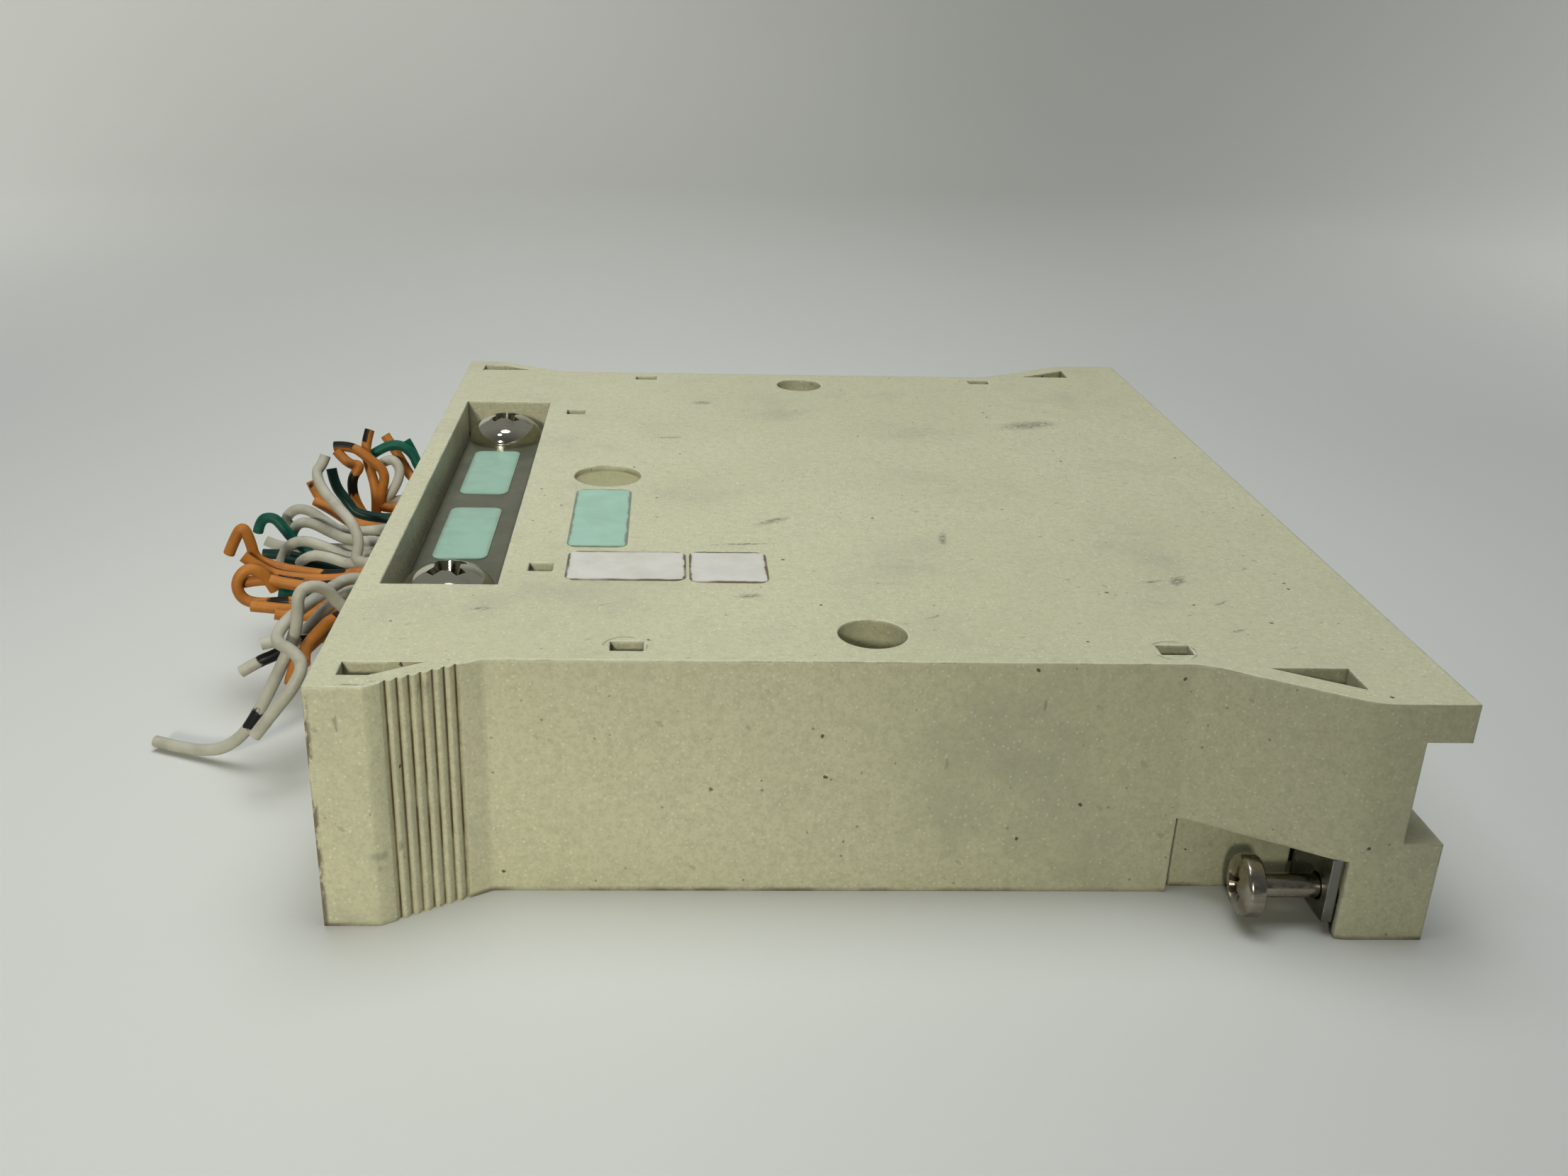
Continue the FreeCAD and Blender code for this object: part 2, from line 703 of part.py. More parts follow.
def make_standoffs(tray):
    """Round posts under the board and under the bracket feet, each with a pilot hole."""
    groups = [
        ("board_posts", board_screw_places(), d.board_level),
        ("bracket_posts", bracket_screw_places(), d.bracket_foot_level),
    ]
    for name, places, top in groups:
        tray.pad(name, nought, top, [small_round(x, y, d.standoff_radius) for x, y in places])
        low = top - d.pilot_depth
        tray.cut(f"{name}_pilots", low, top, [small_round(x, y, d.pilot_radius) for x, y in places])


def make_tongues(tray):
    """Upright snap tongues beside the cover's walls, each with a hook below its catch."""
    hook_outer = cavity_half - d.catch_reach - d.catch_clearance
    outer = hook_outer - d.seam_gap
    inner = outer - d.tongue_wall
    half = d.tongue_width / 2
    top = d.catch_level - d.catch_clearance
    tongues = []
    hooks = []
    for x in slot_middles:
        tongues += both_sides(lambda side: rectangle(x - half, x + half, inner * side, outer * side))
        hooks += both_sides(lambda side: rectangle(x - half, x + half, inner * side, hook_outer * side))
    tray.pad("tongues", nought, top, tongues)
    tray.pad("hooks", top - d.catch_height, top, hooks)


def make_board():
    board = Piece("circuit_board")
    board.pad("sheet", d.board_level, board_top,
              [across(front + d.board_from, rear - d.board_to_rear, board_half)])
    ear_x = rear - d.ear_screw_to_rear
    ear_half = d.ear_screw_spacing / 2
    holes = [small_round(x, y, d.board_hole_radius) for x, y in board_screw_places()]
    holes += [small_round(ear_x, y, d.ear_hole_radius) for y in (-ear_half, ear_half)]
    board.cut("holes", d.board_level, board_top, holes)


def make_strip():
    """Terminal strip with its clamp plates and screws: one mouth and one screw hole for each terminal."""
    start = front + d.strip_from
    length = d.terminal_pitch * TERMINALS_PER_STRIP
    first = (d.terminal_pitch - length) / 2
    top = ceiling - d.strip_headroom
    back = start + d.strip_depth
    mouth_low = d.wire_level - d.mouth_height / 2
    mouth_high = d.wire_level + d.mouth_height / 2
    mouth_half = d.mouth_width / 2
    screw_x = start + d.mouth_depth / 2
    screw_top = top - d.terminal_screw_recess
    screw_low = mouth_high - d.terminal_screw_bite

    strip = Piece("terminal_strip")
    strip.pad("bar", board_top, top, [across(start, back, length / 2)])
    chamfer = [(back - d.strip_chamfer, top), (back, top - d.strip_chamfer), (back, top)]
    strip.cut("chamfer", -length / 2, length / 2, [chamfer], plane="XZ_Plane")
    mouth = strip.cut("mouth", start, start + d.mouth_depth,
                      [rectangle(first - mouth_half, first + mouth_half, mouth_low, mouth_high)],
                      plane="YZ_Plane")
    hole_half = d.terminal_screw_radius + d.terminal_hole_clearance
    hole_outline = rectangle(screw_x - hole_half, screw_x + hole_half, first - hole_half, first + hole_half)
    hole = strip.cut("screw_hole", mouth_high - d.clamp_plate, top, [hole_outline])
    strip.repeat("terminals", [mouth, hole], "Y_Axis", d.terminal_pitch, TERMINALS_PER_STRIP)

    plates = Piece("clamp_plates")
    plate_half = mouth_half - d.terminal_hole_clearance
    plate = plates.pad("plate", mouth_low, mouth_low + d.clamp_plate,
                       [rectangle(start + d.clamp_plate, start + d.mouth_depth, first - plate_half,
                                  first + plate_half)])
    plates.repeat("row", [plate], "Y_Axis", d.terminal_pitch, TERMINALS_PER_STRIP)

    screws = Piece("terminal_screws")
    screw = screws.pad("screw", screw_low, screw_top, [small_round(screw_x, first, d.terminal_screw_radius)])
    screws.repeat("row", [screw], "Y_Axis", d.terminal_pitch, TERMINALS_PER_STRIP)


def make_connector():
    """Multi-row socket connector: a body on the board, a plug face in the rear channel and two ears."""
    connector = Piece("rear_connector")
    start = rear - d.connector_to_rear
    face = start + d.connector_depth
    plug_face = face + d.plug_depth
    half = d.connector_length / 2
    plug_half = d.plug_length / 2
    plug_level = (d.flange_height + lip_level) / 2
    plug_low = plug_level - d.plug_height / 2
    top = lip_level - d.connector_headroom
    ear_top = board_top + d.ear_height
    connector.pad("body", board_top, top, [across(start, face, plug_half)])
    connector.pad("ears", board_top, ear_top, [across(start, face, half)])
    connector.pad("plug", plug_low, plug_low + d.plug_height, [across(face - beyond, plug_face, plug_half)])
    ear_x = rear - d.ear_screw_to_rear
    ear_half = d.ear_screw_spacing / 2
    connector.cut("ear_holes", board_top, ear_top,
                  [small_round(ear_x, y, d.ear_hole_radius) for y in (-ear_half, ear_half)])
    first = -d.contact_pitch * (CONTACTS_PER_ROW - 1) / 2
    half_hole = d.contact_hole / 2
    holes = []
    for row in range(CONTACT_ROWS):
        level = plug_level + d.contact_row_pitch * (row - (CONTACT_ROWS - 1) / 2)
        holes.append(rectangle(first - half_hole, first + half_hole, level - half_hole, level + half_hole))
    hole_end = plug_face - d.contact_hole_depth
    column = connector.cut("contact_holes", hole_end, plug_face, holes, plane="YZ_Plane")
    connector.repeat("contacts", [column], "Y_Axis", d.contact_pitch, CONTACTS_PER_ROW)


def make_bar():
    """Strain-relief bar: an upside-down steel channel that presses on the wires with its two edges."""
    bar = Piece("strain_relief_bar")
    middle = cavity_front + d.window_width / 2
    low_x = middle - d.bar_width / 2
    high_x = middle + d.bar_width / 2
    half = d.bar_length / 2
    edge_low = exit_high
    bar.pad("web", bar_level - d.bar_sheet, bar_level, [across(low_x, high_x, half)])
    bar.pad("flanges", edge_low, bar_level,
            [across(low_x, low_x + d.bar_sheet, half), across(high_x - d.bar_sheet, high_x, half)])

    def outer_bend(edge):
        box = edge.BoundBox
        at_top = abs(box.ZMin - bar_level.value) < 1e-4 and box.ZLength < 1e-4
        return at_top and box.XLength < 1e-4 and box.YLength > half.value

    bar.round_edges("bends", d.bar_bend_radius, outer_bend)
    hole = d.clamp_screw_radius + d.bar_hole_clearance
    bar.cut("screw_holes", bar_level - d.bar_sheet, bar_level,
            [(clamp_x, -clamp_half, hole), (clamp_x, clamp_half, hole)])


def make_screw_head(name, radius, height):
    """Pan head with a cross recess, on its own axis: seat at zero, top up."""
    screw = Piece(name)
    profile = [(nought, nought), (nought, height)]
    profile += [(radius * across_share, height * up_share) for across_share, up_share in PAN_DOME]
    profile.append((radius, nought))
    screw.turn("head", profile)
    screw.cut("recess", height * (as_size(1) - d.recess_depth), height, [cross_shape(radius)])
    return screw


def make_clamp_screw(name, side):
    """Large pan-head screw through the strain-relief bar."""
    screw = make_screw_head(name, d.clamp_head_radius, d.clamp_head_height)
    shank_low = exit_low - d.clamp_screw_reach - bar_level
    screw.pad("shank", shank_low, nought, [small_round(nought, nought, d.clamp_screw_radius)])
    screw.place(clamp_x, clamp_half * side, bar_level, FreeCAD.Rotation())


def make_inserts():
    inserts = Piece("clamp_inserts")
    bore = d.clamp_screw_radius + d.running_clearance
    low = exit_low - d.insert_length
    inserts.pad("sleeves", low, exit_low, [small_round(x, y, insert_radius) for x, y in clamp_places])
    inserts.cut("bores", low, exit_low, [small_round(x, y, bore) for x, y in clamp_places])


def make_bracket(name, side):
    """Plated steel bracket: an upright plate for the captive screw, with a foot on the tray."""
    bracket = Piece(name)
    inner = bracket_inner
    step = side_pad_outer + d.seam_gap
    outer = rear_half - d.bracket_overhang
    foot = d.bracket_foot_level
    top = d.pocket_height - d.bracket_clearance
    plate = [(inner, foot), (step, foot), (step, d.bracket_bottom), (outer, d.bracket_bottom), (outer, top),
             (inner, top)]
    bracket.pad("plate", bracket_start, bracket_end, [[(y * side, z) for y, z in plate]], plane="YZ_Plane")
    foot_start = bracket_end - d.bracket_foot_length
    bracket.pad("foot", foot, foot + d.bracket_sheet,
                [rectangle(foot_start, bracket_end, inner * side, bracket_foot_outer * side)])
    bracket.cut("screw_hole", bracket_start, bracket_end,
                [(mount_half * side, d.mount_level, d.mount_neck_radius + d.bracket_hole_clearance)],
                plane="YZ_Plane")
    x, y = bracket_screw_places()[0 if side == NEAR else 1]
    bracket.cut("foot_hole", foot, foot + d.bracket_sheet, [small_round(x, y, d.board_hole_radius)])


def make_mounting_screw(name, side):
    """Captive pan-head screw: a thin neck runs in the bracket, the thick thread keeps it from falling out."""
    screw = make_screw_head(name, d.mount_head_radius, d.mount_head_height)
    neck_end = -d.mount_neck_length
    screw.pad("neck", neck_end, nought, [(nought, nought, d.mount_neck_radius)])
    screw.pad("thread", neck_end - d.mount_thread_length, neck_end, [(nought, nought, d.mount_thread_radius)])
    seat = rear - d.mount_head_to_rear + d.mount_head_height
    head_to_front = FreeCAD.Rotation(FreeCAD.Vector(0, 1, 0), -90)
    screw.place(seat, mount_half * side, d.mount_level, head_to_front)


def make_small_screws(name, places, seat, head_radius, head_height, shank_length):
    """Group of equal small pan-head screws that stand upright on one level."""
    screws = Piece(name)
    shank_radius = d.small_shank_radius
    screws.pad("heads", seat, seat + head_height, [small_round(x, y, head_radius) for x, y in places])
    screws.pad("shanks", seat - shank_length, seat, [small_round(x, y, shank_radius) for x, y in places])


def make_stickers():
    """Bare stickers with rounded corners on the bar and on the cover."""
    sheets = {"bar": bar_level, "cover": d.cover_height}
    for name, (carrier, start, middle, length, width) in STICKERS.items():
        sticker = Piece(name)
        low = sheets[carrier]
        x_low = front + start
        x_high = x_low + length
        y_low = as_size(middle - width / 2)
        y_high = y_low + width
        sticker.pad("sheet", low, low + d.sticker_sheet, [rectangle(x_low, x_high, y_low, y_high)])
        corners = rectangle(x_low, x_high, y_low, y_high)
        sticker.round_edges("corners", d.sticker_corner, upright_at(corners))


def route_edges(corners):
    """Straight runs joined by tangent arcs; also gives the radius of each bend."""
    edges = []
    radii = []
    start = corners[0]
    for before, corner, after in zip(corners, corners[1:], corners[2:]):
        back = before - corner
        ahead = after - corner
        trim = BEND_SHARE * min(back.Length, ahead.Length)
        back.normalize()
        ahead.normalize()
        half_turn = (math.pi - back.getAngle(ahead)) / 2
        radius = trim / math.tan(half_turn)
        inward = (back + ahead).normalize()
        middle = corner + inward * (radius / math.cos(half_turn) - radius)
        arc_start = corner + back * trim
        arc_end = corner + ahead * trim
        edges.append(Part.makeLine(start, arc_start))
        edges.append(Part.Arc(arc_start, middle, arc_end).toShape())
        radii.append(radius)
        start = arc_end
    edges.append(Part.makeLine(start, corners[-1]))
    return edges, radii


def make_wire(name, points, diameter):
    """Cut-off wire or twisted pair: a plain many-sided tube swept along its route."""
    corners = [FreeCAD.Vector(front.value + x, y, z) for x, y, z in points]
    edges, radii = route_edges(corners)
    route = doc.addObject("Part::Feature", f"{name}_route")
    route.Shape = Part.Wire(edges)
    section = doc.addObject("Part::RegularPolygon", f"{name}_section")
    section.Polygon = WIRE_SIDES
    section.setExpression("Circumradius", (diameter / 2).text)
    along = corners[1] - corners[0]
    section.Placement = FreeCAD.Placement(corners[0], FreeCAD.Rotation(FreeCAD.Vector(0, 0, 1), along))
    wire = doc.addObject("Part::Sweep", name)
    wire.Label = name
    wire.Sections = [section]
    wire.Spine = (route, [f"Edge{index}" for index in range(1, len(edges) + 1)])
    wire.Solid = True
    doc.recompute()
    length = route.Shape.Length
    area = WIRE_SIDES / 2 * math.sin(2 * math.pi / WIRE_SIDES) * (diameter.value / 2) ** 2
    if abs(wire.Shape.Volume / (area * length) - 1) > 0.02:
        raise RuntimeError(f"{name}: volume {wire.Shape.Volume:.1f} is not section times length")
    print(name, "length", round(length, 1), "bend radii", [round(radius, 1) for radius in radii])
    return wire


make_cover()
make_tray()
make_board()
make_strip()
make_connector()
make_bar()
make_clamp_screw("clamp_screw_near", NEAR)
make_clamp_screw("clamp_screw_far", FAR)
make_inserts()
make_bracket("screw_bracket_near", NEAR)
make_bracket("screw_bracket_far", FAR)
make_mounting_screw("mounting_screw_near", NEAR)
make_mounting_screw("mounting_screw_far", FAR)
make_small_screws("board_screws", board_screw_places(), board_top, d.small_head_radius, d.small_head_height,
                  d.small_shank_length)
make_small_screws("bracket_screws", bracket_screw_places(), d.bracket_foot_level + d.bracket_sheet,
                  d.small_head_radius, d.small_head_height, d.small_shank_length)
ear_places = [(rear - d.ear_screw_to_rear, d.ear_screw_spacing / 2 * side) for side in (NEAR, FAR)]
make_small_screws("connector_screws", ear_places, board_top + d.ear_height, d.ear_head_radius,
                  d.ear_head_height, d.small_shank_length)
make_stickers()
wires = [make_wire(name, points, d.wire_diameter) for name, points in SINGLE_WIRES.items()]
wires += [make_wire(name, points, d.pair_diameter) for name, points in WIRE_PAIRS.items()]

doc.recompute()
for item in doc.Objects:
    if "Invalid" in item.State or "Error" in item.State:
        raise RuntimeError(f"{item.Label} failed: {item.State}")
os.makedirs("parts", exist_ok=True)
for part in [piece.body for piece in pieces] + wires:
    shape = part.Shape
    if shape.isNull() or not shape.isValid():
        raise RuntimeError(f"{part.Label} has no valid shape")
    shape.exportStep(f"parts/{part.Label}.step")
    print(part.Label, len(shape.Solids), "solids", round(shape.Volume, 1), "mm3")
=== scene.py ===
import bpy
import bmesh
import math
from mathutils import Matrix, Vector


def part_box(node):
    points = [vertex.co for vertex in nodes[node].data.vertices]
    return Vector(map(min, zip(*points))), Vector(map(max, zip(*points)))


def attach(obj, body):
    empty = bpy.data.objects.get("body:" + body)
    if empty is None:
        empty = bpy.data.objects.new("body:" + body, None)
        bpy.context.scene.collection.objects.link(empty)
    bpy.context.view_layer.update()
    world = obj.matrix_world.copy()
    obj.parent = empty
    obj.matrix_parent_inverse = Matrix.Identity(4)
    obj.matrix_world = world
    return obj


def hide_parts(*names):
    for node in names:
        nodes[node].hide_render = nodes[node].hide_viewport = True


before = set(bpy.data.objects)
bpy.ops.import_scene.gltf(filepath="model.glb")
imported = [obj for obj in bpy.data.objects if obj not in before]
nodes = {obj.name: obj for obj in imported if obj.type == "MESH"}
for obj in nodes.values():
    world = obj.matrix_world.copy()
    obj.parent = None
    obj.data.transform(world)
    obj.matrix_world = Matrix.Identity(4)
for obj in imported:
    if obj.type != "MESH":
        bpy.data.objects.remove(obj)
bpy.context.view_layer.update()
MM = 0.001


# Shared helpers

def linked(name, data):
    """Object with the data, put in the scene."""
    piece = bpy.data.objects.new(name, data)
    bpy.context.scene.collection.objects.link(piece)
    return piece


def mesh_of(work, name):
    """Mesh made from the shaped work, which is then freed."""
    mesh = bpy.data.meshes.new(name)
    work.to_mesh(mesh)
    work.free()
    return mesh


# Camera

def place_camera():
    """Camera at the place that the photograph was taken from."""
    camera = bpy.data.cameras.new("camera")
    camera.sensor_width = 36.0
    camera.lens = 34.03
    camera.shift_x = 0.0386
    camera.shift_y = 0.0097
    camera.clip_start = 0.005
    camera.clip_end = 20.0
    right = Vector((0.99933, -0.02932, 0.02188))
    up = Vector((-0.00866, 0.39152, 0.92013))
    back = right.cross(up)
    turn = Matrix((right, up, back)).transposed().to_4x4()
    holder = linked("camera", camera)
    holder.matrix_world = Matrix.Translation((-0.02380, -0.21138, 0.09975)) @ turn
    bpy.context.scene.camera = holder


# Node helpers for the finishes

class Finish:
    """A material under construction: its shader, its object coordinates and short ways to add nodes."""

    def __init__(self, name):
        self.material = bpy.data.materials.new(name)
        self.material.use_nodes = True
        self.tree = self.material.node_tree
        self.shader = self.tree.nodes["Principled BSDF"]
        self.place = self.add("ShaderNodeTexCoord").outputs["Object"]

    def add(self, kind, **settings):
        node = self.tree.nodes.new(kind)
        for name, value in settings.items():
            setattr(node, name, value)
        return node

    def join(self, value, socket):
        """Links a socket, or sets a plain value."""
        if isinstance(value, bpy.types.NodeSocket):
            self.tree.links.new(value, socket)
        else:
            socket.default_value = value

    def set(self, **values):
        for name, value in values.items():
            self.join(value, self.shader.inputs[name.replace("_", " ")])

    def moved(self, stretch=None, shift=(0, 0, 0), turn=(0, 0, 0)):
        """Object coordinates, shifted and then turned and stretched."""
        if stretch is None and shift == (0, 0, 0) and turn == (0, 0, 0):
            return self.place
        node = self.add("ShaderNodeMapping", vector_type="TEXTURE")
        self.join(self.place, node.inputs["Vector"])
        node.inputs["Location"].default_value = shift
        node.inputs["Rotation"].default_value = turn
        node.inputs["Scale"].default_value = stretch or (1, 1, 1)
        return node.outputs["Vector"]

    def noise(self, scale, detail=2.0, roughness=0.5, where=None):
        node = self.add("ShaderNodeTexNoise")
        node.inputs["Scale"].default_value = scale
        node.inputs["Detail"].default_value = detail
        node.inputs["Roughness"].default_value = roughness
        self.join(where or self.place, node.inputs["Vector"])
        return node.outputs["Fac"]

    def dots(self, scale, size, share, where=None):
        """Round specks strewn at random: size in cells, share of the cells that hold one."""
        cells = self.add("ShaderNodeTexVoronoi")
        cells.inputs["Scale"].default_value = scale
        self.join(where or self.place, cells.inputs["Vector"])
        ragged = self.math("MULTIPLY", self.math("SUBTRACT", self.noise(scale * 9, 2.0), 0.5), size * 1.5)
        near = self.span(self.math("ADD", cells.outputs["Distance"], ragged), size * 0.6, size, 1.0, 0.0)
        pick = self.add("ShaderNodeSeparateColor")
        self.join(cells.outputs["Color"], pick.inputs["Color"])
        return self.math("MULTIPLY", near, self.math("LESS_THAN", pick.outputs["Red"], share))

    def attribute(self, name):
        return self.add("ShaderNodeAttribute", attribute_name=name).outputs["Fac"]

    def span(self, value, low, high, start=0.0, end=1.0):
        """Value between low and high, spread smoothly over start to end."""
        node = self.add("ShaderNodeMapRange", interpolation_type="SMOOTHSTEP")
        self.join(value, node.inputs["Value"])
        for name, number in (("From Min", low), ("From Max", high), ("To Min", start), ("To Max", end)):
            node.inputs[name].default_value = number
        return node.outputs["Result"]

    def math(self, operation, first, second=0.0):
        node = self.add("ShaderNodeMath", operation=operation)
        self.join(first, node.inputs[0])
        self.join(second, node.inputs[1])
        return node.outputs["Value"]

    def times(self, *values):
        product = values[0]
        for value in values[1:]:
            product = self.math("MULTIPLY", product, value)
        return product

    def parts(self, vector):
        node = self.add("ShaderNodeSeparateXYZ")
        self.join(vector, node.inputs["Vector"])
        return node.outputs

    def blend(self, share, first, second, mode="MIX"):
        """Colour mixed from two colours."""
        node = self.add("ShaderNodeMix", data_type="RGBA", blend_type=mode)
        self.join(share, node.inputs["Factor"])
        for value, index in ((first, 6), (second, 7)):
            self.join((*value, 1.0) if isinstance(value, tuple) else value, node.inputs[index])
        return node.outputs[2]

    def hollow(self, reach, alone=True):
        """High in inner corners and grooves, nought on open faces."""
        node = self.add("ShaderNodeAmbientOcclusion", samples=6, only_local=alone)
        node.inputs["Distance"].default_value = reach
        return self.span(node.outputs["AO"], 0.30, 0.85, 1.0, 0.0)

    def rounded(self, radius):
        """Normal that rolls over the edges."""
        node = self.add("ShaderNodeBevel", samples=6)
        node.inputs["Radius"].default_value = radius
        return node.outputs["Normal"]

    def ridge(self, rolled, low=0.86, high=0.99):
        """High along edges, where the rolled normal leaves the face, and nought on flat faces."""
        node = self.add("ShaderNodeVectorMath", operation="DOT_PRODUCT")
        self.join(rolled, node.inputs[0])
        self.join(self.add("ShaderNodeNewGeometry").outputs["True Normal"], node.inputs[1])
        return self.span(node.outputs["Value"], low, high, 1.0, 0.0)

    def away(self, spot, size, turn=0.0):
        """Distance from a spot, in sizes of the spot; both in millimetres."""
        node = self.add("ShaderNodeVectorMath", operation="LENGTH")
        where = self.moved(tuple(part * MM for part in size), tuple(part * MM for part in spot),
                           (0, 0, math.radians(turn)))
        self.join(where, node.inputs[0])
        return node.outputs["Value"]

    def bump(self, height, distance, strength=1.0, under=None):
        node = self.add("ShaderNodeBump")
        node.inputs["Strength"].default_value = strength
        node.inputs["Distance"].default_value = distance
        self.join(height, node.inputs["Height"])
        if under is not None:
            self.join(under, node.inputs["Normal"])
        return node.outputs["Normal"]


def dress(piece, *finishes):
    """Puts the finishes on a piece, in place of those that it has."""
    piece.data.materials.clear()
    for finish in finishes:
        piece.data.materials.append(finish)


# Finishes. Places on the cover, in millimetres: its top, its sunk mark, a chipped corner and the grip ribs.
# A mark of endless size has no end along Z

TOP = 30.0
SUNK_MARK = (-33.4, 1.2, 0)
CHIPPED_CORNER = (-62.5, -70.7, 15)
RIBS_X, RIBS_HALF, RIBS_SIDE = -50.65, 3.95, 62.0
ENDLESS = 1000.0

# Rub marks: x, y, turn in degrees, length and width. Rings: the middles of two faint circles
RUB_MARKS = [(-9.8, -18.0, 35, 4.2, 1.1), (-14.5, -27.2, 5, 6.0, 0.5), (40.4, -38.9, 60, 3.0, 1.2),
             (36.8, 31.3, 20, 7.0, 3.0), (12.9, -24.4, 80, 3.5, 0.8), (37.2, -39.2, 20, 2.2, 0.5),
             (43.6, -46.0, 35, 1.6, 0.4), (43.0, -54.3, 30, 1.5, 0.4), (41.0, -39.0, 10, 0.9, 0.45),
             (50.3, -34.7, 30, 1.2, 0.35), (-18.6, 42.9, 0, 2.5, 1.6), (-24.4, 21.5, 5, 3.0, 0.8),
             (-14.2, -45.0, 10, 2.4, 0.9), (-46.1, -49.5, 10, 2.0, 0.7), (-25.9, -16.8, 120, 0.8, 0.25),
             (-42.1, -8.1, 90, 0.4, 0.3), (-7.2, -0.2, 60, 0.7, 0.25), (26.5, -38.7, 40, 0.6, 0.35),
             (30.6, -40.8, 110, 0.8, 0.2), (-57.5, -70.1, 0, 2.4, 0.25)]
WITNESS_RINGS = [(-28.9, -59.9), (33.4, -60.0)]
RING_SIZE = (2.5, 2.5, ENDLESS)

# Colours of the ivory plastic: as moulded, where it is paler, its marks, its painted glints and edge
# highlight, and its dirt with painted shade
IVORY, DEEP_IVORY = (0.530, 0.516, 0.350), (0.492, 0.480, 0.318)
MOTTLE, FINE_MOTTLE, GREY_HAZE = (0.340, 0.330, 0.215), (0.330, 0.320, 0.205), (0.325, 0.322, 0.235)
PAINTED_GLINT, WORN_EDGE_AND_HIGHLIGHT, SUNK_TINT = (0.680, 0.670, 0.520), (0.640, 0.628, 0.475), (0.63, 0.63, 0.50)
HAIRLINE, RUBBED, RING_LINE = (0.150, 0.142, 0.105), (0.105, 0.102, 0.078), (0.13, 0.12, 0.09)
BLACK_SPECK, TAN_DASH, BROWN_SPECK = (0.050, 0.038, 0.024), (0.210, 0.198, 0.125), (0.160, 0.125, 0.075)
CHIPPED, DARK_DIRT_AND_SHADE = (0.110, 0.082, 0.046), (0.105, 0.072, 0.038)


def rub_marks(f):
    """High in the scratchy patches on the top."""
    scratchy = f.span(f.noise(900.0, 4.0, 0.7, f.moved((1.0, 0.35, 1.0), turn=(0, 0, 0.6))), 0.38, 0.56)
    rubbed = 0.0
    for x, y, turn, length, width in RUB_MARKS:
        mark = f.span(f.away((x, y, TOP), (length, width, 3), turn), 0.2, 1.0, 1.0, 0.0)
        rubbed = f.math("MAXIMUM", mark, rubbed)
    return f.times(rubbed, scratchy, 0.75)


def witness_rings(f):
    """High along the broken lines of the faint rings."""
    ringed = 0.0
    for x, y in WITNESS_RINGS:
        from_line = f.math("ABSOLUTE", f.math("SUBTRACT", f.away((x, y, TOP), RING_SIZE), 1.0))
        ringed = f.math("MAXIMUM", f.span(from_line, 0.02, 0.07, 1.0, 0.0), ringed)
    return f.times(ringed, f.span(f.noise(240.0, 2.0), 0.46, 0.54), 0.65)


